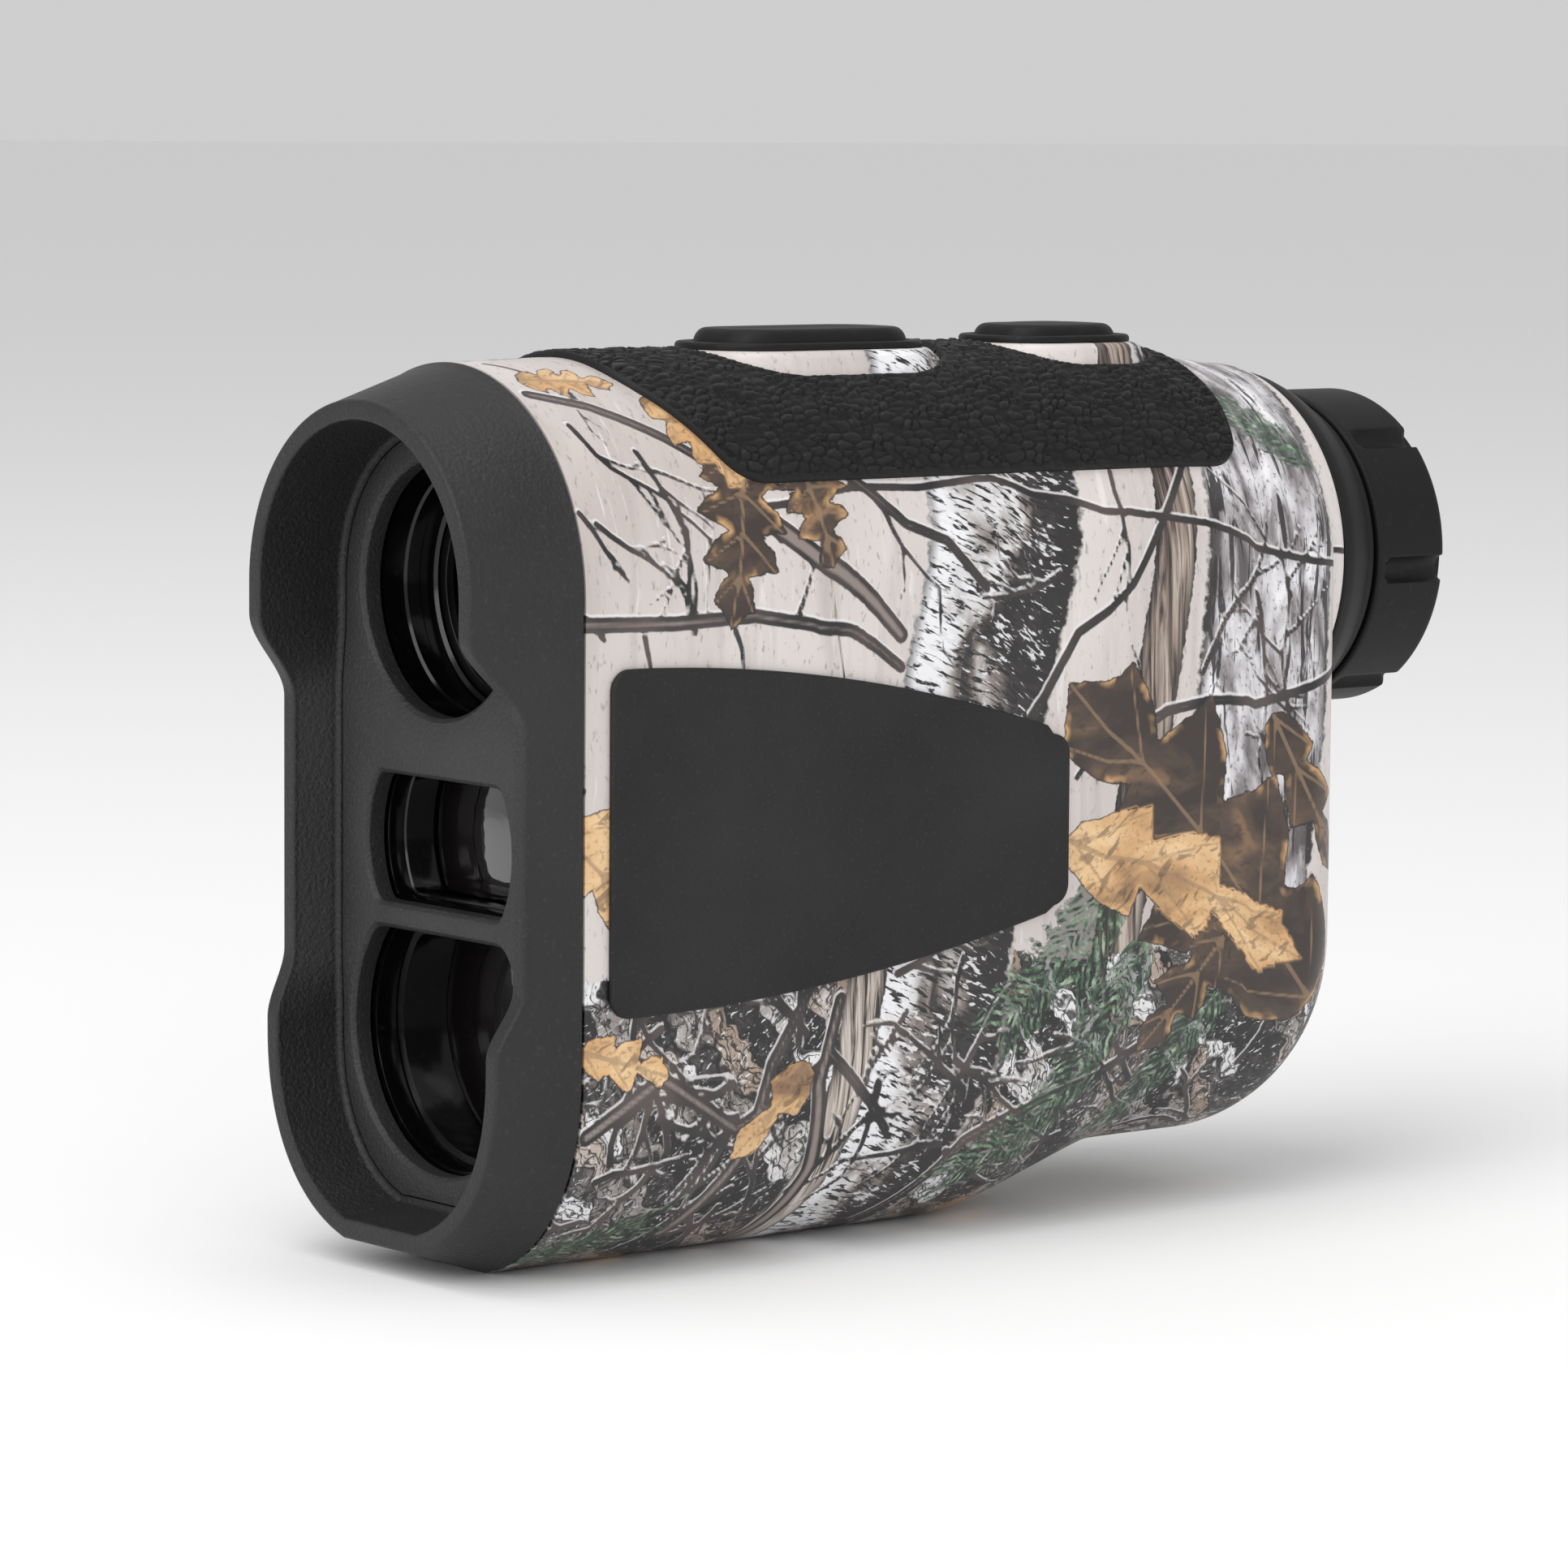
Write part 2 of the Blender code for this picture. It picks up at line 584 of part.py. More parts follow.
finish("laser_driver_board", box(-11.0, 11.0, 33.2, 34.4, -25.5, -14.0), BOARD)
finish("main_board", box(-15.0, -14.0, 20, 78, -37.5, -14.2), BOARD)
finish("processor_chip", box(-13.9, -12.7, 50.0, 60.0, -21.5, -14.8), BLACK)
finish("range_timer_chip", box(-13.9, -12.8, 22.0, 29.0, -23.0, -16.0), BLACK)

# ---------------------------------------------------------------- battery bay and its door
finish("battery_sleeve", lathe([(8.05, 52.0), (8.9, 52.0), (8.9, 80.8), (8.05, 80.8)],
                               BATTERY_Z, 40), BLACK)
finish("battery", lathe([(0, 53.4), (3.6, 53.4), (3.6, 54.2), (BATTERY_R, 54.2),
                         (BATTERY_R, 80.4), (0, 80.4)], BATTERY_Z, 40), WRAP)
finish("bay_contact", lathe([(0, 51.3), (7.0, 51.3), (7.0, 51.8), (2.5, 51.8), (2.0, 53.1),
                             (0, 53.1)], BATTERY_Z, 32), BRASS)
py, pz = DOOR_PIVOT
frame_poly = [(x, z) for x, z in round_rect(11.6, -42.0, -20.0, 1.2, 3)]
frame = finish("battery_door_frame", prism(frame_poly, 81.9, 84.3), BLACK)
cut(frame, prism(round_rect(9.8, -40.1, -21.9, 0.5, 2), 80, 90))
for sign in (-1, 1):
    xa, xb = sorted((sign * 6.4, sign * 9.5))
    add(frame, cross_rod(1.05, xa, xb, py, pz))
    add(frame, box(xa, xb, 83.0, py + 0.6, -41.6, -40.3))
cut(frame, cross_rod(1.3, -6.2, 6.2, py, pz))
cut(frame, cross_rod(0.56, -12, 12, py, pz, 16))
for sign in (-1, 1):
    xa, xb = sorted((sign * 6.2, sign * 9.75))
    cut(frame, box(xa, xb, 81.0, 83.55, -40.05, -38.0))
door = finish("battery_door", prism(round_rect(9.5, -39.8, -22.2, 0.4, 2), 82.4, 84.0), BLACK,
              (0.0, py, pz))
add(door, box(-4.0, 4.0, 83.9, 84.5, -24.6, -23.8))
add(door, cross_rod(1.05, -6.0, 6.0, py, pz))
add(door, box(-5.9, 5.9, 83.0, py + 0.13, -39.77, -38.6))
for sign in (-1, 1):
    xa, xb = sorted((sign * 6.15, sign * 9.8))
    cut(door, cross_rod(1.35, xa, xb, py, pz))
cut(door, cross_rod(0.56, -12, 12, py, pz, 16))
finish("door_hinge_pin", cross_rod(0.5, -9.5, 9.5, py, pz, 16), STEEL)
finish("door_contact", rod(3.2, 81.1, 82.2, BATTERY_Z, 24), BRASS, (0.0, py, pz))

# ---------------------------------------------------------------- board screws
for index, (sy, sz) in enumerate(((45.0, -17.5), (74.5, -17.5), (45.0, -35.5), (74.5, -35.5))):
    head = cross_rod(1.1, -13.8, -13.0, sy, sz, 16)
    finish(f"board_screw_{index + 1}", head, STEEL)
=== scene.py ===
"""Looks for the laser rangefinder: fine meshes, procedural materials, studio light and camera."""
import math

import bmesh
import bpy
import numpy as np
from mathutils import Matrix, Vector


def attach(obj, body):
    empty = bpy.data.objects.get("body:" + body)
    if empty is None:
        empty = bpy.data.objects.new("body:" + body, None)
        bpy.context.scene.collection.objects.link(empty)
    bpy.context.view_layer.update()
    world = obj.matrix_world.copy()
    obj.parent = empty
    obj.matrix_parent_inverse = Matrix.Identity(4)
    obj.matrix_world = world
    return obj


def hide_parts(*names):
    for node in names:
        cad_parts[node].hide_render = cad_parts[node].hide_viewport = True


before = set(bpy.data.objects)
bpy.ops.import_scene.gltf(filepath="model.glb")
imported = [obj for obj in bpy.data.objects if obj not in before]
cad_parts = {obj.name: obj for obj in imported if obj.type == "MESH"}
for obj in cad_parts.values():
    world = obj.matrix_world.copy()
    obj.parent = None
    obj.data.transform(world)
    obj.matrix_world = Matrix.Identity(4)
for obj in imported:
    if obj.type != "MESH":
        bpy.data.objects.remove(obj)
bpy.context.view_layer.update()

# Working frame in millimetres, as in the CAD source: y = 0 on the lens panel, z = 0 on the sight line.
MM = 0.001
Y_MID = 45.35
Z_BASE = 54.2
HALF_WIDTH = 17.9
SEAM_Y = 1.3
REAR_Y = 84.0
SIDE_FILLET = 5.5
BASE_FILLET = 9.0
HOOD_DRAFT = 0.31
LIP = 1.55
EYE_R = 13.8
SPLIT = 0.06
BATTERY_Z = -31.0
NO_CUT = 99.0
TOP_LINE = [(1.3, 17.95), (10, 18.15), (24, 18.25), (50, 18.35), (64.5, 18.3), (69, 18.05), (72, 17.65),
            (75, 17.2), (78.5, 16.8), (84, 16.45)]
BASE_LINE = [(1.3, -54.2), (46.5, -54.2), (48.3, -54.0), (50, -53.55),
             (61, -50.1), (62.9, -49.62), (64.5, -49.5), (84, -49.5)]
TAU = 2 * math.pi
rng = np.random.default_rng(7)


def srgb(r, g, b):
    out = []
    for v in (r / 255, g / 255, b / 255):
        out.append(v / 12.92 if v <= 0.04045 else ((v + 0.055) / 1.055) ** 2.4)
    return (*out, 1.0)


def smoothstep(a, b, v):
    t = np.clip((np.asarray(v, float) - a) / (b - a), 0, 1)
    return t * t * (3 - 2 * t)


def softened(table, sigma=1.0):
    """A line through the table's points with its corners rounded, as a function of y."""
    xs = np.arange(-20, 120, 0.1)
    ys = np.interp(xs, [p[0] for p in table], [p[1] for p in table])
    reach = np.arange(-40, 41)
    kernel = np.exp(-0.5 * (reach * 0.1 / sigma) ** 2)
    kernel /= kernel.sum()
    padded = np.pad(ys, 40, mode="edge")
    ys = np.convolve(padded, kernel, mode="valid")
    return lambda v: np.interp(v, xs, ys)


top_line = softened(TOP_LINE, 1.3)
base_line = softened(BASE_LINE, 1.1)


# ------------------------------------------------------------------ meshes
def to_row(points):
    p = np.array(points, float).reshape(-1, 3)
    p[:, 1] -= Y_MID
    p[:, 2] += Z_BASE
    return p * MM


def linked(name, data):
    obj = bpy.data.objects.new(name, data)
    bpy.context.scene.collection.objects.link(obj)
    return obj


def finish(obj, material):
    """Gives obj its material."""
    obj.data.materials.append(material)


def make_object(name, points, faces, body, replaces=(), sharp=None):
    """points in working millimetres, faces as index lists."""
    mesh = bpy.data.meshes.new(name)
    mesh.from_pydata(to_row(points).tolist(), [], [list(f) for f in faces])
    mesh.validate()
    mesh.update()
    obj = linked(name, mesh)
    mesh.shade_smooth()
    if sharp is not None:
        mesh.set_sharp_from_angle(angle=math.radians(sharp))
    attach(obj, body)
    if replaces:
        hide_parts(*replaces)
    return obj


def grid_faces(rows, cols, wrap_rows=False, wrap_cols=False, start=0):
    r = np.arange(rows if wrap_rows else rows - 1)
    c = np.arange(cols if wrap_cols else cols - 1)
    rr, cc = np.meshgrid(r, c, indexing="ij")
    a = rr * cols + cc
    b = rr * cols + (cc + 1) % cols
    d = ((rr + 1) % rows) * cols + cc
    e = ((rr + 1) % rows) * cols + (cc + 1) % cols
    return np.stack([a, b, e, d], -1).reshape(-1, 4) + start


def compact(points, faces, extra=()):
    """Drops unused points, and returns points, faces and the extra per-point arrays."""
    used = np.unique(faces)
    remap = -np.ones(len(points), int)
    remap[used] = np.arange(len(used))
    return points[used], remap[faces], [e[used] for e in extra]


def ring_solid(name, profile, body, replaces, zc, sharp, segs=160):
    """Closed ring or solid turned about a line along y. profile: closed (r, y) list."""
    pts = []
    faces = []
    rings = []
    for r, y in profile:
        if r < 1e-6:
            rings.append([len(pts)])
            pts.append((0.0, y, zc))
        else:
            rings.append(list(range(len(pts), len(pts) + segs)))
            for k in range(segs):
                a = TAU * k / segs
                pts.append((r * math.sin(a), y, zc + r * math.cos(a)))
    for low, high in zip(rings, rings[1:] + rings[:1]):
        if len(low) == 1 and len(high) == 1:
            continue
        for k in range(segs):
            j = (k + 1) % segs
            if len(low) == 1:
                faces.append((low[0], high[k], high[j]))
            elif len(high) == 1:
                faces.append((low[k], high[0], low[j]))
            else:
                faces.append((low[k], high[k], high[j], low[j]))
    obj = make_object(name, pts, faces, body, replaces, sharp=sharp)
    face_out(obj)
    return obj


def face_out(obj):
    bm = bmesh.new()
    bm.from_mesh(obj.data)
    bmesh.ops.recalc_face_normals(bm, faces=bm.faces)
    if bm.calc_volume(signed=True) < 0:
        bmesh.ops.reverse_faces(bm, faces=bm.faces)
    bm.to_mesh(obj.data)
    bm.free()


def turned_piece(name, profile, body, node, material, sharp=32, zc=0.0):
    finish(ring_solid(name, profile, body, (node,) if node else (), zc, sharp=sharp), material)


def quarter(steps):
    """Angles of a quarter turn in equal steps, without its start."""
    return [math.pi / 2 * k / steps for k in range(1, steps + 1)]


def rounded(profile, radius=0.25, steps=3):
    """Replaces each corner of a closed (r, y) profile by a small arc."""
    out = []
    n = len(profile)
    for i in range(n):
        p0 = np.array(profile[i - 1], float)
        p1 = np.array(profile[i], float)
        p2 = np.array(profile[(i + 1) % n], float)
        if p1[0] < 1e-6:
            out.append(tuple(p1))
            continue
        d0 = p0 - p1
        d2 = p2 - p1
        l0 = np.linalg.norm(d0)
        l2 = np.linalg.norm(d2)
        reach = min(radius, 0.45 * l0, 0.45 * l2)
        a = p1 + d0 / l0 * reach
        b = p1 + d2 / l2 * reach
        for k in range(steps + 1):
            t = k / steps
            out.append(tuple((1 - t) ** 2 * a + 2 * t * (1 - t) * p1 + t * t * b))
    return out


def round_rect(hx, y0, y1, radius, n=14):
    pts = []
    corners = [(hx - radius, y1 - radius, 0), (-hx + radius, y1 - radius, 90),
               (-hx + radius, y0 + radius, 180), (hx - radius, y0 + radius, 270)]
    for cx, cy, start in corners:
        for k in range(n + 1):
            a = math.radians(start + 90 * k / n)
            pts.append((cx + radius * math.cos(a), cy + radius * math.sin(a)))
    return pts


def stack(name, loops, body, replaces=(), ring=False, sharp=32):
    """Closed solid through loops of equal count, capped or joined in a ring."""
    count = len(loops[0])
    pts = [p for loop in loops for p in loop]
    faces = grid_faces(len(loops), count, wrap_rows=ring, wrap_cols=True).tolist()
    if not ring:
        faces.append(list(range(count)))
        faces.append(list(range(count * len(loops) - 1, count * (len(loops) - 1) - 1, -1)))
    obj = make_object(name, pts, faces, body, replaces, sharp=sharp)
    face_out(obj)
    return obj


def cut_circle(r, zc, z_low, z_high, n):
    a0 = math.asin(max(-1.0, (z_low - zc) / r))
    a1 = math.asin(min(1.0, (z_high - zc) / r))
    right = []
    for k in range(n + 1):
        a = a0 + (a1 - a0) * k / n
        right.append((r * math.cos(a), zc + r * math.sin(a)))
    pts = right + [(-x, z) for x, z in reversed(right)]
    return [p for i, p in enumerate(pts)
            if math.hypot(p[0] - pts[i - 1][0], p[1] - pts[i - 1][1]) > 1e-6]


# ------------------------------------------------------------------ node material helper
class Nodes:
    """Short calls for building one material's nodes."""

    def __init__(self, name):
        self.mat = bpy.data.materials.new(name)
        self.mat.use_nodes = True
        self.tree = self.mat.node_tree
        self.shader = self.tree.nodes["Principled BSDF"]

    def put(self, socket, value):
        if isinstance(value, bpy.types.NodeSocket):
            self.tree.links.new(value, socket)
        else:
            socket.default_value = value

    def set(self, **values):
        names = {"color": "Base Color", "rough": "Roughness", "metal": "Metallic", "normal": "Normal",
                 "coat": "Coat Weight", "coat_rough": "Coat Roughness", "ior": "IOR",
                 "spec": "Specular IOR Level"}
        for key, value in values.items():
            self.put(self.shader.inputs[names[key]], value)

    def attr(self, name, out="Fac"):
        node = self.tree.nodes.new("ShaderNodeAttribute")
        node.attribute_name = name
        return node.outputs[out]

    def object_coords(self):
        return self.tree.nodes.new("ShaderNodeTexCoord").outputs["Object"]

    def math(self, op, a, b=0.0, c=0.0, clamp=False):
        node = self.tree.nodes.new("ShaderNodeMath")
        node.operation = op
        node.use_clamp = clamp
        for i, v in enumerate((a, b, c)):
            self.put(node.inputs[i], v)
        return node.outputs[0]

    def scaled(self, vec, scale, offset=(0, 0, 0)):
        node = self.tree.nodes.new("ShaderNodeMapping")
        self.put(node.inputs["Vector"], vec)
        node.inputs["Scale"].default_value = scale
        node.inputs["Location"].default_value = offset
        return node.outputs[0]

    def turned(self, vec, degrees):
        node = self.tree.nodes.new("ShaderNodeVectorRotate")
        node.rotation_type = "Z_AXIS"
        self.put(node.inputs["Vector"], vec)
        node.inputs["Angle"].default_value = math.radians(degrees)
        return node.outputs[0]

    def noise(self, vec, scale, detail=2.0, rough=0.5, warp=0.0):
        node = self.tree.nodes.new("ShaderNodeTexNoise")
        self.put(node.inputs["Vector"], vec)
        node.inputs["Scale"].default_value = scale
        node.inputs["Detail"].default_value = detail
        node.inputs["Roughness"].default_value = rough
        node.inputs["Distortion"].default_value = warp
        return node.outputs["Fac"]

    def cells(self, vec, feature, out="Distance"):
        node = self.tree.nodes.new("ShaderNodeTexVoronoi")
        node.feature = feature
        self.put(node.inputs["Vector"], vec)
        node.inputs["Scale"].default_value = 1.0
        node.inputs["Randomness"].default_value = 1.0
        return node.outputs[out]

    def ramp(self, fac, *stops):
        """Color ramp through (position, red, green, blue) stops, as 0-255 sRGB."""
        node = self.tree.nodes.new("ShaderNodeValToRGB")
        els = node.color_ramp.elements
        while len(els) < len(stops):
            els.new(0.5)
        for el, (pos, *color) in zip(els, stops):
            el.position = pos
            el.color = srgb(*color)
        self.put(node.inputs[0], fac)
        return node.outputs[0]

    def mix(self, fac, a, b):
        node = self.tree.nodes.new("ShaderNodeMix")
        node.data_type = "RGBA"
        self.put(node.inputs[0], fac)
        self.put(node.inputs[6], a)
        self.put(node.inputs[7], b)
        return node.outputs[2]

    def step(self, value, low, high):
        """0 below low, 1 above high, straight between."""
        node = self.tree.nodes.new("ShaderNodeMapRange")
        self.put(node.inputs["Value"], value)
        node.inputs["From Min"].default_value = low
        node.inputs["From Max"].default_value = high
        return node.outputs[0]

    def bump(self, height, strength, distance):
        node = self.tree.nodes.new("ShaderNodeBump")
        self.put(node.inputs["Height"], height)
        node.inputs["Strength"].default_value = strength
        node.inputs["Distance"].default_value = distance
        return node.outputs[0]


def scaled_tone(color, gain, lift=0.0):
    return tuple(min(1, c * gain + lift) for c in color[:3]) + (1,)


def moulded(name, color, rough, grain=2600.0, strength=0.25, depth=0.00006, spread=0.08,
            specular=0.38):
    """Moulded plastic or rubber with a fine eroded grain. Object coordinates are in metres."""
    n = Nodes(name)
    co = n.object_coords()
    fine = n.noise(co, grain, 3.0, 0.6)
    patch = n.noise(co, 70.0, 3.0, 0.5)
    tone = n.mix(n.step(patch, 0.3, 0.7), scaled_tone(color, 0.78), scaled_tone(color, 1.28))
    speck = n.step(n.noise(co, grain * 0.8, 1.0, 0.5), 0.62, 0.78)
    tone = n.mix(n.math("MULTIPLY", speck, 0.5), tone, scaled_tone(color, 1.9, 0.01))
    rougher = n.math("MULTIPLY_ADD", patch, spread, rough - spread / 2)
    n.set(color=tone, rough=rougher, normal=n.bump(fine, strength, depth), spec=specular)
    return n.mat


def glassy(name, tint, rough=0.02, ior=1.5):
    """Dark coated lens: a glossy tinted solid with a coat, which hides what is behind it."""
    n = Nodes(name)
    co = n.object_coords()
    drift = n.noise(co, 40.0, 2.0, 0.5)
    n.set(color=n.mix(drift, scaled_tone(tint, 0.35), tint),
          rough=n.math("MULTIPLY_ADD", drift, 0.02, rough),
          coat=1.0, coat_rough=0.01, spec=0.7, ior=ior)
    return n.mat


def metallic(name, color, rough):
    n = Nodes(name)
    co = n.object_coords()
    lines = n.noise(n.scaled(co, (1, 14, 1)), 900.0, 2.0, 0.5)
    n.set(color=n.mix(lines, color, scaled_tone(color, 1.2)),
          rough=n.math("MULTIPLY_ADD", lines, 0.15, rough), metal=1.0)
    return n.mat


# ------------------------------------------------------------------ camouflage print
# The print lives on the shell: u runs front to rear and v round from the top centre, in mm.
def polyline(points, hw0, hw1=None):
    """(u0, v0, u1, v1, half-width, half-width) for each stretch, tapering from hw0 to hw1."""
    hw1 = hw0 if hw1 is None else hw1
    count = len(points) - 1
    out = []
    for i, (p, q) in enumerate(zip(points, points[1:])):
        out.append((*p, *q, hw0 + (hw1 - hw0) * i / count, hw0 + (hw1 - hw0) * (i + 1) / count))
    return out


def grow(start, heading, length, hw, forks):
    """A twig with a wandering line and side twigs. heading in degrees, 90 is down the side."""
    pts = [start]
    out = []
    steps = max(3, int(length / 1.6))
    turn = heading
    for i in range(steps):
        turn += rng.normal(0, 9)
        a = math.radians(turn)
        u, v = pts[-1]
        pts.append((u + math.cos(a) * length / steps, v + math.sin(a) * length / steps))
        if forks and rng.random() < 0.38:
            side = turn + rng.choice((-1, 1)) * rng.uniform(28, 55)
            out += grow(pts[-1], side, length * rng.uniform(0.3, 0.55), hw * 0.7, forks - 1)
    return out + polyline(pts, hw, hw * 0.5)


BRANCHES = (
    polyline([(1.3, 29.8), (10, 30.2), (18, 30), (24, 31), (28, 32.6), (33, 36)], 0.62, 0.5)
    + polyline([(20, 22.5), (25, 26), (29.5, 30), (33, 33.4)], 0.95, 0.7)
    + polyline([(2.5, 9), (7, 11), (12, 14.5), (17, 18.5), (21, 24)], 0.6, 0.45)
    + polyline([(14, 21.8), (25, 21), (36, 21.5), (44, 20.8), (52, 22), (60, 24.5), (70, 26),
                (84, 27.5)], 0.34, 0.3)
    + polyline([(29, 20), (34, 24.5), (38, 26), (42, 30)], 0.5, 0.4)
    + polyline([(47, 40), (52, 33), (58, 30), (64, 22), (70, 14)], 0.45, 0.3)
    + polyline([(56, 44), (62, 41), (70, 40), (84, 36)], 0.5, 0.35)
    + polyline([(2, 70), (9, 66), (17, 71), (26, 66), (33, 74)], 0.75, 0.4)
    + polyline([(14, 82), (18, 74), (20, 66), (24, 60)], 0.8, 0.45)
    + polyline([(24, 86), (26, 76), (25, 68), (27, 62)], 0.9, 0.6)
    + polyline([(36, 86), (42, 76), (49, 72), (58, 70), (70, 66)], 0.6, 0.4)
)
for start, heading, length in (((4, 13), 72, 15), ((9, 16), 80, 14), ((3, 22), 40, 9),
                               ((1.6, 21), 60, 7), ((31, 22), 50, 10), ((3, 31), 250, 7),
                               ((12, 31), 262, 8), ((22, 31), 290, 6), ((7, 31), 80, 6),
                               ((16, 31), 75, 5), ((50, 28), 150, 9), ((52, 45), 320, 10),
                               ((57, 20), 100, 12), ((66, 38), 300, 16), ((72, 30), 60, 14),
                               ((78, 46), 250, 18), ((3, 2), 60, 8), ((6, 60), 60, 12),
                               ((40, 60), 110, 14), ((34, 64), 140, 12), ((62, 76), 200, 16)):
    BRANCHES += grow(start, heading, length, 0.27, 2)
for _ in range(26):
    BRANCHES += grow((rng.uniform(2, 34), rng.uniform(60, 84)), rng.uniform(0, 360), 9, 0.36, 2)
for _ in range(16):
    BRANCHES += grow((rng.uniform(36, 82), rng.uniform(66, 88)), rng.uniform(0, 360), 10, 0.34, 2)


def lobed_leaf(base, tip, width, lobes, bite=0.55):
    """Outline of a pointed, lobed leaf from its stalk end to its tip, and its veins."""
    b = np.array(base, float)
    t = np.array(tip, float)
    along = t - b
    length = np.linalg.norm(along)
    along = along / length
    across = np.array((-along[1], along[0]))
    sides = []
    veins = [(*b, *t, 0.16, 0.1)]
    for sign in (1, -1):
        side = []
        for k in range(lobes):
            s0 = (k + 0.1) / (lobes + 0.35)
            s1 = (k + 0.95 + rng.uniform(-0.12, 0.12)) / (lobes + 0.35)
            full = 0.5 * width * math.sin(math.pi * min(1, s1 * 0.93 + 0.04)) ** 0.7
            neck = full * (1 - bite) * rng.uniform(0.8, 1.1)
            reach = full * rng.uniform(0.88, 1.08)
            root = b + along * (s0 * length)
            for s, w in ((s0, neck), ((s0 + s1) / 2 - 0.02, 0.55 * (neck + reach)), (s1, reach),
                         (s1 + 0.012, reach * 0.7)):
                side.append(b + along * (s * length) + across * (sign * w))
            veins.append((*root, *(b + along * (s1 * length) + across * (sign * reach * 0.9)),
                          0.12, 0.06))
        sides.append(side)
    outline = [b] + sides[0] + [t] + sides[1][::-1]
    return [tuple(p) for p in outline], veins


# (stalk end, tip, width, lobes, tone) with tone 0 dark brown and 1 golden
LEAVES = [((19.5, 13), (15.5, 31), 9.0, 5, 0.12), ((24.5, 17.5), (26, 27), 7.0, 4, 0.25),
          ((13, 10), (18.5, 20), 5.5, 4, 0.75), ((3, 6.5), (11.5, 8), 5.5, 4, 0.7),
          ((80, 65), (51, 37), 21.0, 4, 0.1), ((51, 50), (78, 61), 10.0, 3, 0.8),
          ((-4, 43), (7, 53), 11.0, 3, 0.9), ((69, 60), (60, 70), 7.0, 3, 0.05),
          ((74, 40), (83, 54), 7.0, 3, 0.15), ((1, 63), (10, 66), 5.0, 3, 0.9),
          ((24, 66), (17, 74), 5.0, 2, 0.75), ((46, 84), (56, 92), 7.0, 3, 0.6),
          ((30, 3), (44, -2), 9.0, 4, 0.35), ((10, 88), (22, 94), 7.0, 3, 0.7)]


def polygon_field(u, v, poly):
    """Signed distance in mm, negative inside."""
    best = np.full(len(u), 1e9)
    inside = np.zeros(len(u), bool)
    for (x0, y0), (x1, y1) in zip(poly, poly[1:] + poly[:1]):
        dx, dy = x1 - x0, y1 - y0
        t = np.clip(((u - x0) * dx + (v - y0) * dy) / (dx * dx + dy * dy + 1e-12), 0, 1)
        best = np.minimum(best, np.hypot(u - x0 - t * dx, v - y0 - t * dy))
        if y0 != y1:
            inside ^= ((v < y0) != (v < y1)) & (u < x0 + (v - y0) * dx / dy)
    return np.where(inside, -best, best)


def segment_field(u, v, segments):
    """Distance in mm beyond the nearest segment's half-width, negative inside."""
    best = np.full(len(u), 1e9)
    for x0, y0, x1, y1, h0, h1 in segments:
        dx, dy = x1 - x0, y1 - y0
        t = np.clip(((u - x0) * dx + (v - y0) * dy) / (dx * dx + dy * dy + 1e-12), 0, 1)
        d = np.hypot(u - x0 - t * dx, v - y0 - t * dy) - (h0 + (h1 - h0) * t)
        best = np.minimum(best, d)
    return best


# Trunks: (v, centre u, half-width) knots down the side
BIRCH = [(0, 46.5, 8.6), (15, 45.5, 8.3), (25, 44.5, 8.2), (36, 41.5, 8.1), (46, 39.5, 7.8),
         (58, 38, 7.4), (68, 37, 7.2), (76, 34, 7.0), (88, 31, 7.0), (110, 27, 7.0)]
STRIPED = [(0, 66, 2.0), (19, 64, 2.2), (30, 62.5, 2.4), (40, 60.5, 2.6), (60, 56.5, 2.8),
           (80, 52, 2.8), (110, 46, 2.8)]
MOTTLED = [(0, 76, 7.6), (20, 74.5, 7.4), (40, 73, 7.8), (60, 70, 7.6), (80, 64, 7.0), (110, 58, 7)]
OFFCUT = [(0, 21, 0.1), (56, 30.5, 0.1), (60, 30, 2.1), (72, 27.5, 2.2), (84, 25, 2.2),
          (110, 22, 2)]
# Green sprigs: (base, tip, needle length)
SPRIGS = [((62, 46), (52, 62), 5.5), ((56, 54), (44, 66), 5.0), ((60, 60), (48, 76), 5.5),
          ((54, 70), (42, 80), 4.5), ((70, 62), (60, 78), 4.5), ((1, 84), (12, 80), 4.0),
          ((80, 18), (70, 10), 4.5)]


def trunk_ratio(u, v, knots):
    vs = [k[0] for k in knots]
    centre = np.interp(v, vs, [k[1] for k in knots])
    half = np.interp(v, vs, [k[2] for k in knots])
    return (u - centre) / half


def sprig_fields(u, v):
    mask = np.full(len(u), -9.0)
    across = np.zeros(len(u))
    along = np.zeros(len(u))
    for base, tip, reach in SPRIGS:
        b = np.array(base, float)
        axis = np.array(tip, float) - b
        length = np.linalg.norm(axis)
        axis /= length
        s = (u - b[0]) * axis[0] + (v - b[1]) * axis[1]
        t = np.abs((v - b[1]) * axis[0] - (u - b[0]) * axis[1])
        lean = math.radians(34)
        root = s - t / math.tan(lean)
        out = np.minimum(1 - t / (reach * math.sin(lean)),
                         np.minimum(root + 1.5, length - root) * 0.6)
        use = out > mask
        mask = np.where(use, out, mask)
        across = np.where(use, s * math.sin(lean) - t * math.cos(lean) + 17 * base[0], across)
        along = np.where(use, s * math.cos(lean) + t * math.sin(lean), along)
    return mask, across, along


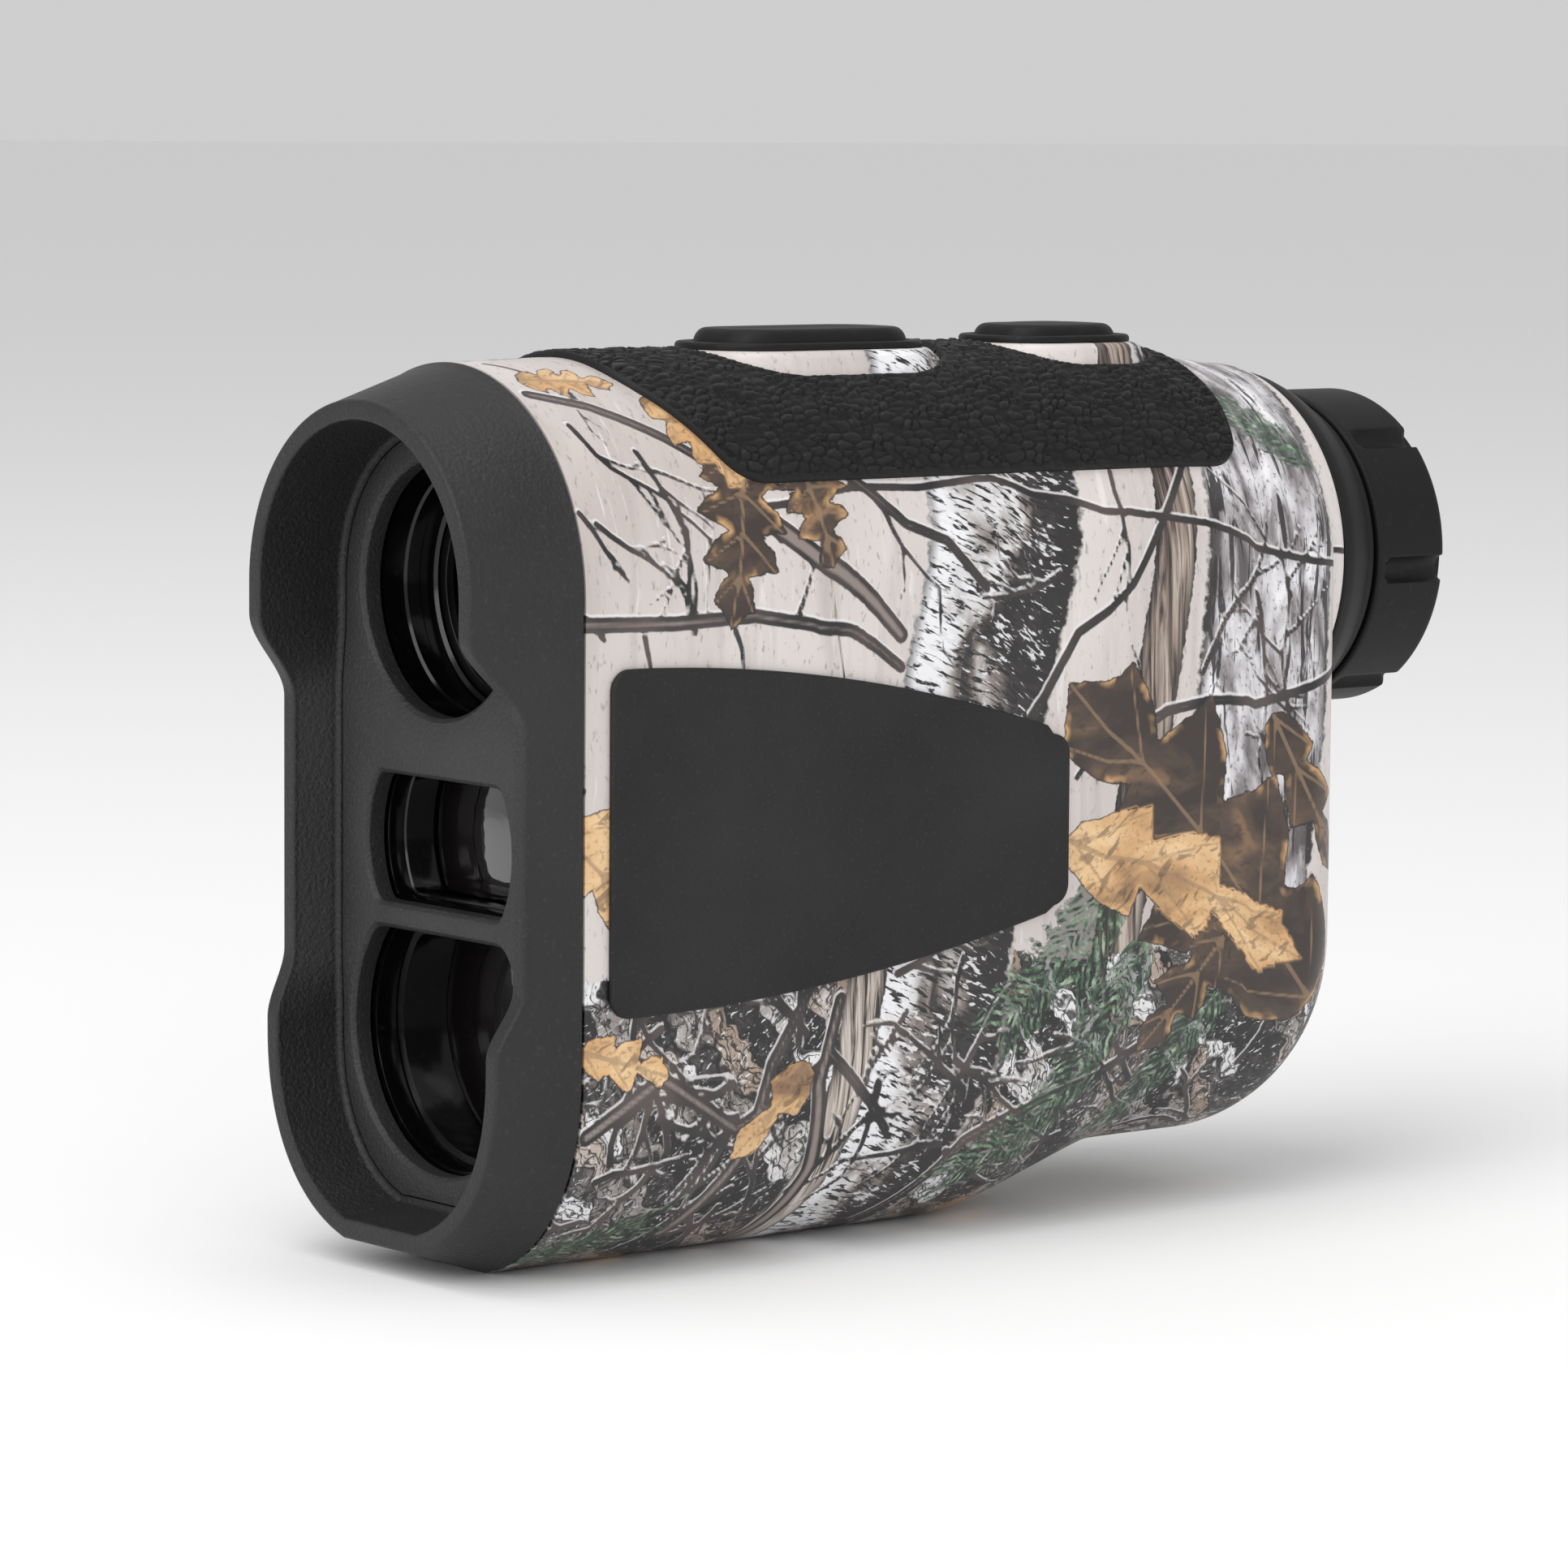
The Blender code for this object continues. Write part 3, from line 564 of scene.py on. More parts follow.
def print_fields(u, v):
    """Every per-vertex number that the camouflage material thresholds."""
    leaf = np.full(len(u), 9.0)
    tone = np.zeros(len(u))
    vein = np.full(len(u), 9.0)
    for base, tip, width, lobes, shade in LEAVES:
        poly, ribs = lobed_leaf(base, tip, width, lobes)
        field = polygon_field(u, v, poly)
        top = (field < leaf) | (field < 0)
        tone = np.where(top, shade, tone)
        vein = np.where(top, segment_field(u, v, ribs), vein)
        leaf = np.where(field < 0, field, np.minimum(leaf, field))
    sprig, across, along = sprig_fields(u, v)
    litter = smoothstep(57, 62, v - 0.1 * np.maximum(0, u - 45) + 0.1 * np.maximum(0, 20 - u))
    return {
        "birch": trunk_ratio(u, v, BIRCH), "striped": trunk_ratio(u, v, STRIPED),
        "mottled": trunk_ratio(u, v, MOTTLED), "offcut": trunk_ratio(u, v, OFFCUT),
        "twig": segment_field(u, v, BRANCHES), "leaf": leaf, "tone": tone,
        "twig_lit": segment_field(u + 0.1, v + 0.24, BRANCHES),
        "vein": vein, "sprig": sprig, "needle_q": across,
        "needle_p": along, "litter": litter,
    }


def camo_material():
    n = Nodes("camo_print")
    place = n.attr("print", "Vector")

    def flecks(su, sv, detail=2.0, warp=0.0, offset=0.0, turn=0.0):
        """Noise with that many features per millimetre along u and v, turned by turn degrees."""
        vec = n.turned(place, turn) if turn else place
        return n.noise(n.scaled(vec, (su, sv, 1), (offset, offset, 0)), 1.0, detail, 0.55, warp)

    def shaken(value, gain, noise):
        """value plus gain times a noise that is centred on 0.5."""
        return n.math("MULTIPLY_ADD", n.math("SUBTRACT", noise, 0.5), gain, value)

    def over(mask, under, color, amount=1.0):
        if amount != 1.0:
            mask = n.math("MULTIPLY", mask, amount)
        return n.mix(mask, under, srgb(*color))

    ragged = n.math("SUBTRACT", flecks(1.1, 1.1, 3.0), 0.5)
    drift = flecks(0.045, 0.02, 3.0)
    streak = flecks(0.5, 0.05, 3.0, 0.4)
    out = n.ramp(drift, (0.32, 190, 180, 176), (0.5, 208, 200, 196), (0.68, 222, 216, 214))
    out = over(n.step(streak, 0.50, 0.72), out, (172, 162, 157), 0.45)
    out = over(n.step(flecks(2.2, 0.9, 4.0, 0.4), 0.60, 0.68), out, (118, 108, 102), 0.5)
    out = over(n.step(flecks(0.9, 0.12, 4.0, 0.5, 14.0), 0.62, 0.70), out, (236, 232, 231), 0.6)

    def inside(ratio, soft=0.2):
        edge = n.math("SUBTRACT", 1.0, n.math("ABSOLUTE", ratio))
        return n.step(n.math("MULTIPLY_ADD", ragged, soft, edge), 0.0, 0.05)

    def rim_shade(ratio, low, high):
        return n.step(n.math("ABSOLUTE", ratio), low, high)

    # wide pale trunk, mottled, with dark cracks towards its edges
    ratio = n.attr("mottled")
    cloud = flecks(0.34, 0.13, 5.0, 0.5)
    bark = n.ramp(cloud, (0.34, 238, 237, 240), (0.46, 206, 203, 207), (0.55, 150, 144, 146),
                  (0.64, 92, 86, 87))
    cracks = n.step(n.math("MULTIPLY_ADD", n.math("ABSOLUTE", ratio), 0.10,
                           flecks(0.9, 0.10, 5.0, 1.2, 4.0)), 0.60, 0.64)
    bark = over(cracks, bark, (36, 32, 34), 0.95)
    bark = over(n.step(flecks(2.6, 1.5, 4.0, 0.3, 8.0), 0.58, 0.64), bark, (84, 78, 78), 0.7)
    bark = over(rim_shade(ratio, 0.80, 0.98), bark, (40, 35, 36), 0.85)
    out = n.mix(inside(ratio, 0.22), out, bark)
    # narrow brown trunk
    ratio = n.attr("striped")
    stripes = n.math("MULTIPLY_ADD", ratio, 0.07, flecks(1.7, 0.09, 4.0, 0.9))
    bark = n.ramp(stripes, (0.38, 40, 33, 32), (0.46, 98, 84, 76), (0.54, 146, 130, 120),
                  (0.66, 190, 178, 168))
    bark = over(rim_shade(ratio, 0.6, 0.95), bark, (30, 26, 28), 0.9)
    out = n.mix(inside(ratio, 0.3), out, bark)
    # birch, lit from the front
    ratio = n.attr("birch")
    lit = n.math("MULTIPLY_ADD", ratio, 0.5, 0.5)
    cloud = n.math("MULTIPLY_ADD", flecks(0.16, 0.10, 5.0, 0.9), 1.7, n.math("SUBTRACT", lit, 0.92))
    bark = n.ramp(cloud, (0.10, 236, 236, 239), (0.28, 210, 207, 207), (0.44, 134, 124, 118),
                  (0.56, 58, 52, 52), (0.8, 34, 31, 33))
    slant = flecks(0.55, 2.6, 4.0, 0.5, 0.0, -24.0)
    bark = over(n.step(n.math("MULTIPLY_ADD", lit, 0.07, slant), 0.545, 0.60), bark,
                (30, 27, 29))
    pale = flecks(0.8, 2.4, 4.0, 0.4, 31.0, -24.0)
    pale = shaken(pale, 0.55, flecks(0.28, 0.28, 3.0, 0.0, 3.0))
    bark = over(n.step(n.math("MULTIPLY_ADD", lit, -0.02, pale), 0.575, 0.63), bark,
                (226, 225, 228), 0.9)
    bark = over(rim_shade(ratio, 0.84, 0.98), bark, (34, 30, 32), 0.85)
    out = n.mix(inside(ratio, 0.2), out, bark)
    # tangled ground: slabs of different tone, cracked and speckled
    warp = n.tree.nodes.new("ShaderNodeTexNoise")
    n.put(warp.inputs["Vector"], place)
    warp.inputs["Scale"].default_value = 0.35
    shift = n.tree.nodes.new("ShaderNodeVectorMath")
    shift.operation = "MULTIPLY_ADD"
    n.put(shift.inputs[0], warp.outputs["Color"])
    shift.inputs[1].default_value = (5.0, 5.0, 0.0)
    n.put(shift.inputs[2], place)
    turned = n.turned(shift.outputs[0], 38)
    slabs = n.scaled(turned, (0.36, 0.13, 0.0))
    tone = n.cells(slabs, "F1", "Color")
    split = n.tree.nodes.new("ShaderNodeSeparateColor")
    n.put(split.inputs[0], tone)
    level = shaken(split.outputs[0], 0.9, flecks(0.5, 0.5, 4.0))
    floor = n.ramp(level, (0.12, 24, 22, 24), (0.34, 66, 62, 62), (0.52, 124, 117, 113),
                   (0.7, 176, 170, 166), (0.9, 228, 227, 229))
    tan = n.math("MULTIPLY", n.step(split.outputs[1], 0.62, 0.72), n.step(level, 0.35, 0.6))
    floor = over(tan, floor, (158, 132, 108), 0.65)
    crack = n.cells(n.scaled(turned, (1.05, 0.42, 0.0)), "DISTANCE_TO_EDGE")
    crack = shaken(crack, 0.16, flecks(1.6, 1.6, 3.0))
    floor = over(n.step(crack, 0.075, 0.03), floor, (20, 18, 20), 0.9)
    glint = n.step(flecks(1.3, 3.2, 4.0, 0.8, 17.0, 35.0), 0.60, 0.65)
    floor = over(glint, floor, (234, 233, 236), 0.85)
    pits = n.step(flecks(3.0, 1.4, 4.0, 0.8, 23.0, 20.0), 0.57, 0.62)
    floor = over(pits, floor, (20, 18, 20), 0.9)
    hollow = n.step(n.cells(slabs, "DISTANCE_TO_EDGE"), 0.05, 0.012)
    floor = over(hollow, floor, (16, 15, 17), 0.9)
    keep = n.step(n.math("MULTIPLY_ADD", ragged, 0.9, n.attr("litter")), 0.42, 0.5)
    keep = n.math("MULTIPLY", keep, n.step(n.math("ABSOLUTE", ratio), 0.98, 1.04))
    out = n.mix(keep, out, floor)
    ratio = n.attr("offcut")
    stripes = flecks(1.9, 0.1, 3.0, 1.0, 3.0)
    bark = n.ramp(stripes, (0.4, 44, 38, 36), (0.48, 160, 147, 136), (0.6, 206, 197, 190))
    bark = over(rim_shade(ratio, 0.7, 0.95), bark, (40, 34, 33), 0.9)
    out = n.mix(inside(ratio, 0.3), out, bark)
    # twigs, dark with a lit edge on one side
    twig = n.math("MULTIPLY_ADD", ragged, 0.14, n.attr("twig"))
    glow = n.math("MULTIPLY_ADD", ragged, 0.3, n.attr("twig_lit"))
    out = over(n.step(glow, 0.04, -0.06), out, (232, 229, 229), 0.7)
    tone = n.ramp(flecks(0.10, 0.10, 2.0, 0.0, 9.0), (0.42, 26, 23, 26), (0.62, 82, 72, 70))
    core = n.mix(n.step(twig, -0.6, -0.35), srgb(138, 126, 120), tone)
    out = n.mix(n.step(twig, 0.06, -0.06), out, core)
    # needles
    line = n.math("FRACT", n.math("MULTIPLY_ADD", flecks(0.22, 0.22, 3.0), 5.0,
                                  n.math("MULTIPLY", n.attr("needle_q"), 1.5)))
    blade = n.step(n.math("ABSOLUTE", n.math("SUBTRACT", line, 0.5)), 0.30, 0.20)
    blade = n.math("MULTIPLY", blade, n.step(flecks(0.8, 0.8, 2.0, 0.0, 41.0), 0.36, 0.46))
    reach = n.step(shaken(n.attr("sprig"), 1.6, flecks(0.9, 0.9, 2.0)), 0.1, 0.22)
    green = n.ramp(flecks(0.7, 0.7, 3.0, 0.0, 21.0), (0.36, 28, 44, 36), (0.5, 74, 104, 78),
                   (0.66, 162, 182, 158))
    out = over(reach, out, (30, 36, 34), 0.6)
    out = n.mix(n.math("MULTIPLY", reach, blade), out, green)
    # leaves
    leaf = n.math("MULTIPLY_ADD", ragged, 0.7, n.attr("leaf"))
    tone = shaken(n.attr("tone"), 1.5, flecks(0.11, 0.2, 3.0, 0.6, 2.0))
    face = n.ramp(tone, (0.0, 52, 42, 38), (0.25, 84, 68, 56), (0.5, 140, 108, 78), (0.72, 206, 162, 112),
                  (1.0, 234, 198, 150))
    fine = n.step(flecks(2.2, 2.2, 4.0, 0.0, 6.0), 0.54, 0.68)
    face = over(fine, face, (48, 38, 34), 0.4)
    scorch = n.step(flecks(0.35, 0.9, 4.0, 0.8, 12.0, 30.0), 0.56, 0.62)
    face = over(scorch, face, (54, 42, 36), 0.55)
    torn = n.math("MULTIPLY", n.step(leaf, -0.8, -0.25), n.step(flecks(0.3, 0.3, 2.0), 0.5, 0.62))
    face = over(torn, face, (222, 174, 116), 0.75)
    face = over(n.step(n.attr("vein"), 0.10, 0.0), face, (150, 122, 94), 0.6)
    face = n.mix(n.step(leaf, -0.2, -0.05), face, srgb(30, 25, 26))
    out = n.mix(n.step(leaf, 0.04, -0.06), out, face)

    co = n.object_coords()
    grain = n.noise(co, 2400.0, 2.0, 0.5)
    rough = n.math("MULTIPLY_ADD", n.noise(co, 60.0, 2.0, 0.5), 0.08, 0.36)
    n.set(color=out, rough=rough, normal=n.bump(grain, 0.12, 0.00003), coat=0.12, coat_rough=0.3)
    return n.mat


# ------------------------------------------------------------------ shell halves
def half_section(y, side, low, n_top=88, n_side=112, n_low=90):
    """Right half of the body at y from top centre to bottom centre, as x and z arrays."""
    w = HALF_WIDTH - side
    top = top_line(y) - side
    centre = base_line(y) + HALF_WIDTH
    base = base_line(y) + low
    a = np.linspace(0, math.pi / 2, n_top + 1)
    x = [w * np.sin(a)]
    z = [top * np.cos(a)]
    line = np.linspace(0, centre, n_side + 1)[1:-1]
    x.append(np.full(len(line), w))
    z.append(line)
    a = np.linspace(0, math.pi / 2, n_low + 1)
    power = 2 / 2.2
    x.append(w * np.clip(np.cos(a), 0, 1) ** power)
    z.append(np.maximum(centre - (centre - base) * 1.033 * np.sin(a) ** power, base))
    return np.maximum(np.concatenate(x), SPLIT), np.concatenate(z)


ISLANDS = ((7.9, 24.2, 48.6, 7.0, 17.2, 1.3), (7.4, 55.0, 72.0, 6.8, 17.3, 1.3))


def rect_depth(x, y, hx, y0, y1, radius):
    """Distance inside a rounded rectangle that is centred on x = 0, negative outside."""
    qx = np.abs(x) - (hx - radius)
    qy = np.abs(y - (y0 + y1) / 2) - ((y1 - y0) / 2 - radius)
    outside = np.hypot(np.maximum(qx, 0), np.maximum(qy, 0))
    return radius - outside - np.minimum(np.maximum(qx, qy), 0)


def island_height(x, y):
    best = np.full(np.shape(x), -99.0)
    for hx, y0, y1, radius, low, rise in ISLANDS:
        d = rect_depth(x, y, hx, y0, y1, radius)
        crown = low + rise * np.sqrt(1 - (1 - np.clip(d, 0, 1)) ** 2)
        best = np.maximum(best, np.where(d > 0, crown, low + 6 * d))
    return best


ROW_STEP = 0.345
BUTTON_WELLS = ((5.5, 26.9, 46.7, 4.4), (5.2, 57.0, 70.0, 4.2))
BORE_R = 13.2
DOOR_HALF, DOOR_LOW, DOOR_HIGH = 11.2, -41.6, -20.4
BOSS_R = 16.4
GIRTH_R = 18.3
REAR_SIDE = REAR_Y - SIDE_FILLET
REAR_LOW = REAR_Y - BASE_FILLET


def shell_grid():
    xs, ys, zs, us = [], [], [], []

    def low_fillet(y):
        t = max(0.0, y - REAR_LOW)
        return BASE_FILLET - math.sqrt(BASE_FILLET ** 2 - min(t, BASE_FILLET) ** 2)

    for y in np.linspace(SEAM_Y, REAR_SIDE, int((REAR_SIDE - SEAM_Y) / ROW_STEP)):
        x, z = half_section(y, 0.0, low_fillet(y))
        island = island_height(x, np.full(len(x), y))
        z = np.where((x < 9) & (z > 10), np.maximum(z, island), z)
        xs.append(x)
        ys.append(np.full(len(x), y))
        zs.append(z)
        us.append(y)
    for phi in np.linspace(0, math.pi / 2, 18)[1:]:
        y = REAR_SIDE + SIDE_FILLET * math.sin(phi)
        x, z = half_section(y, SIDE_FILLET * (1 - math.cos(phi)), low_fillet(y))
        xs.append(x)
        ys.append(np.full(len(x), y))
        zs.append(z)
        us.append(REAR_SIDE + SIDE_FILLET * phi)
    x, z = xs[-1], zs[-1]
    spine = np.clip(z, base_line(REAR_Y) + HALF_WIDTH, 0)
    for t in np.linspace(0, 1, 23)[1:]:
        xs.append(x * (1 - t) + SPLIT * t)
        ys.append(np.full(len(x), REAR_Y))
        zs.append(z * (1 - t) + spine * t)
        us.append(REAR_SIDE + SIDE_FILLET * math.pi / 2 + t * 12.4)
    x, y, z = np.array(xs), np.array(ys), np.array(zs)
    step = np.hypot(np.diff(x, axis=1), np.diff(z, axis=1))
    girth = np.concatenate([np.zeros((len(x), 1)), np.cumsum(step, axis=1)], axis=1)
    full = int((REAR_SIDE - SEAM_Y) / ROW_STEP)
    girth[full:] = girth[full - 1]
    u = np.repeat(np.array(us)[:, None], x.shape[1], axis=1)
    return x, y, z, u, girth


def shell_half(name, sign, material):
    x, y, z, u, girth = shell_grid()
    rows, cols = x.shape
    faces = grid_faces(rows, cols)
    centre = [a.ravel()[faces].mean(1) for a in (x, y, z)]
    top = centre[2] > 10
    rear = centre[1] > 80
    hole = rear & (np.hypot(centre[0], centre[2]) < BORE_R)
    hole |= rear & (centre[0] < DOOR_HALF) & (centre[2] > DOOR_LOW) & (centre[2] < DOOR_HIGH)
    for well in BUTTON_WELLS:
        hole |= top & (rect_depth(centre[0], centre[1], *well) > 0)
    faces = faces[~hole]
    pts = np.stack([x.ravel(), y.ravel(), z.ravel()], 1)
    # the eyepiece boss, half a turned ring with its own end faces
    outer = [(12.4, 79.0), (14.6, 71.0), (15.9, 76.0), (16.37, 79.5), (BOSS_R, 82.0), (16.3, 83.4),
             (16.0, 83.9), (15.6, 84.1), (12.4, 84.1)]
    profile = rounded(outer, 0.5, 5)
    turns = 150
    start = len(pts)
    ring_u, ring_v, ring_pts = [], [], []
    for k in range(turns + 1):
        a = math.pi * k / turns
        for r, ry in profile:
            ring_pts.append((max(r * math.sin(a), SPLIT), ry, r * math.cos(a)))
            ring_u.append(ry + (BOSS_R - r) * 0.6)
            ring_v.append(18.1 * a)
    boss = grid_faces(turns + 1, len(profile), wrap_cols=True, start=start)[:, ::-1]
    pts = np.concatenate([pts, ring_pts])
    u = np.concatenate([u.ravel(), ring_u])
    v = np.concatenate([girth.ravel(), ring_v])
    all_faces = np.concatenate([faces, boss])
    pts, all_faces, (u, v) = compact(pts, all_faces, (u, v))
    if sign < 0:
        # the left half carries the print from rear to front
        pts = pts * (-1, 1, 1)
        u = 86 - u
        all_faces = all_faces[:, ::-1]
    obj = make_object(name, pts, all_faces.tolist(), "housing", (name.replace("_skin", ""),))
    mesh = obj.data
    for key, values in print_fields(u, v).items():
        mesh.attributes.new(key, "FLOAT", "POINT").data.foreach_set(
            "value", np.asarray(values, np.float32))
    where = np.stack([u, v, np.full(len(u), 5.0 * sign)], 1).astype(np.float32)
    mesh.attributes.new("print", "FLOAT_VECTOR", "POINT").data.foreach_set("vector", where.ravel())
    rim(obj, 1.2)
    finish(obj, material)
    return obj


def rim(obj, depth):
    """Turns the open edges of a skin inward, so that it shows a wall."""
    bm = bmesh.new()
    bm.from_mesh(obj.data)
    bm.normal_update()
    bounds = [e for e in bm.edges if e.is_boundary]
    for e in bounds:
        e.smooth = False
    normals = {v: v.normal.copy() for e in bounds for v in e.verts}
    made = bmesh.ops.extrude_edge_only(bm, edges=bounds)["geom"]
    lookup = {}
    for f in made:
        if isinstance(f, bmesh.types.BMFace):
            for e in f.edges:
                for vert, other in (tuple(e.verts), tuple(e.verts)[::-1]):
                    if vert in normals and other not in normals:
                        lookup[other] = normals[vert]
    for vert, normal in lookup.items():
        vert.co -= normal * (depth * MM)
    bm.to_mesh(obj.data)
    bm.free()


# ------------------------------------------------------------------ grip pad
PAD_HALF = [(11.4, 0.0), (11.8, 7.8), (18.2, 19.8), (71.3, 19.8), (73.1, 13.0), (73.2, 0.0)]
PAD_LIFT = 0.72
PAD_STEP = 0.2
PAD_HOLES = ((8.15, 23.95, 48.85, 7.25), (7.65, 54.75, 72.25, 7.05))


def soft_corners(points, reach, steps=8):
    out = [points[0]]
    for before, corner, after in zip(points, points[1:], points[2:]):
        ends = []
        for other in (before, after):
            gap = math.dist(corner, other)
            t = min(reach, 0.45 * gap) / gap
            ends.append([c + (o - c) * t for c, o in zip(corner, other)])
        for k in range(steps + 1):
            t = k / steps
            out.append(tuple((1 - t) ** 2 * p + 2 * t * (1 - t) * q + t * t * r
                             for p, q, r in zip(ends[0], corner, ends[1])))
    return out + [points[-1]]


def pebbles(u, v, cell_u, cell_v, seed):
    """Height from 0 in the grooves to 1 on the pebbles of a leather grain."""
    local = np.random.default_rng(seed)
    size = 256
    jitter = local.random((size, size, 2))
    lift = local.random((size, size))
    warp = 0.3 * np.sin(u * 1.3 + 2 * np.sin(v * 0.9)) + 0.2 * np.sin(v * 2.1 + u)
    gu = (u + warp) / cell_u
    gv = (v + 0.4 * np.sin(u * 0.7) * np.cos(v * 0.5)) / cell_v
    iu = np.floor(gu).astype(int)
    iv = np.floor(gv).astype(int)
    first = np.full(len(u), 9.0)
    second = np.full(len(u), 9.0)
    high = np.zeros(len(u))
    for du in (-1, 0, 1):
        for dv in (-1, 0, 1):
            a = (iu + du) % size
            b = (iv + dv) % size
            d = np.hypot(gu - iu - du - jitter[a, b, 0], gv - iv - dv - jitter[a, b, 1])
            nearer = d < first
            second = np.where(nearer, first, np.minimum(second, d))
            high = np.where(nearer, lift[a, b], high)
            first = np.minimum(first, d)
    groove = smoothstep(0.0, 0.42, second - first)
    return groove * (0.55 + 0.45 * high) * (1 - 0.25 * np.clip(first, 0, 1))


def grip_pad():
    outline = soft_corners(PAD_HALF, 3.0)
    oy = [p[0] for p in outline]
    oa = [p[1] for p in outline]
    length = np.concatenate([[0], np.cumsum(np.hypot(np.diff(oy), np.diff(oa)))])
    marks = np.arange(0, length[-1], PAD_STEP)
    ys = np.interp(marks, length, oy)
    reach = np.maximum(np.interp(marks, length, oa), 0.4)
    cols = 190
    frac = np.linspace(-1, 1, cols + 1)
    y = np.repeat(ys[:, None], cols + 1, 1)
    arc = reach[:, None] * frac[None, :]
    faces = grid_faces(len(ys), cols + 1)
    y = y.ravel()
    arc = arc.ravel()
    x = HALF_WIDTH * np.sin(arc / GIRTH_R)
    gap = np.full(len(x), 9.0)
    for hx, y0, y1, radius in PAD_HOLES:
        d = -rect_depth(x, y, hx, y0, y1, radius)
        eps = 0.01
        gx = (-rect_depth(x + eps, y, hx, y0, y1, radius) - d) / eps
        gy = (-rect_depth(x, y + eps, hx, y0, y1, radius) - d) / eps
        near = np.abs(d) < 0.62 * PAD_STEP
        x = np.where(near, x - gx * d, x)
        y = np.where(near, y - gy * d, y)
        d = np.where(near, 0.0, d)
        gap = np.minimum(gap, d)
    keep = (gap[faces] >= -1e-6).all(1)
    faces = faces[keep]
    arc = GIRTH_R * np.arcsin(np.clip(x / HALF_WIDTH, -1, 1))
    poly = outline + [(p[0], -p[1]) for p in reversed(outline[1:-1])]
    edge = np.minimum(-polygon_field(y, arc, poly), gap)
    edge = np.maximum(edge, 0)
    grain = pebbles(y, arc, 1.3, 0.74, 3)
    broad = 0.5 + 0.5 * np.sin(y * 0.9 + 3 * np.sin(arc * 0.35)) * np.sin(arc * 1.1)
    lip = np.sqrt(1 - (1 - np.clip(edge / 0.5, 0, 1)) ** 2)
    inner = smoothstep(0.12, 0.6, edge)
    height = (PAD_LIFT - 0.04) * lip + inner * (-0.36 * (1 - grain) + 0.02 * broad)
    base_arc = arc / GIRTH_R
    top = top_line(y)
    px = (HALF_WIDTH + height) * np.sin(base_arc)
    pz = (top + height) * np.cos(base_arc)
    # tone carries painted shade: it is low in the grooves between pebbles, so the rubber is coloured
    # darker there
    pts, faces, (tone,) = compact(np.stack([px, y, pz], 1), faces, (grain * inner + 0.5 * (1 - inner),))
    obj = make_object("grip_pad_leather", pts, faces[:, ::-1].tolist(), "housing", ("grip_pad",))
    obj.data.attributes.new("pebble", "FLOAT", "POINT").data.foreach_set(
        "value", np.asarray(tone, np.float32))
    if obj.data.vertices[len(pts) // 2].normal.z < 0:
        obj.data.flip_normals()
    rim(obj, 0.3)
    finish(obj, pebbled_rubber())


def pebbled_rubber():
    n = Nodes("pebbled_rubber")
    co = n.object_coords()
    fine = n.noise(co, 3200.0, 2.0, 0.5)
    level = n.attr("pebble")
    # painted shade: the colour darkens into the pebble grooves; roughness follows the same value
    color = n.ramp(level, (0.0, 4, 4, 5), (0.6, 15, 15, 16), (1.0, 24, 24, 25))
    n.set(color=color, rough=n.math("MULTIPLY_ADD", level, -0.16, 0.58),
          normal=n.bump(fine, 0.3, 0.00004), spec=0.3)
    return n.mat


# ------------------------------------------------------------------ bezel and lens panel
def foot(z):
    return smoothstep(-30.0, -35.5, z)


def hood(z):
    return smoothstep(-9.5, -2.5, z)


def bezel_front(z):
    return -3.5 - 4.3 * hood(z) - 2.1 * foot(z)


def bezel_inset(z):
    return 4.8 + 0.55 * hood(z) + 0.2 * foot(z)


def seam_outline(n_top=110, n_side=150, n_low=110):
    x, z = half_section(SEAM_Y, 0.0, 0.0, n_top, n_side, n_low)
    x = np.where(x <= SPLIT, 0.0, x)
    px = np.concatenate([x, -x[-2:0:-1]])
    pz = np.concatenate([z, z[-2:0:-1]])
    tx = np.roll(px, -1) - np.roll(px, 1)
    tz = np.roll(pz, -1) - np.roll(pz, 1)
    size = np.hypot(tx, tz)
    nx = tz / size
    nz = -tx / size
    for _ in range(10):
        nx = (np.roll(nx, 1) + 2 * nx + np.roll(nx, -1)) / 4
        nz = (np.roll(nz, 1) + 2 * nz + np.roll(nz, -1)) / 4
    size = np.hypot(nx, nz)
    return px, pz, nx / size, nz / size


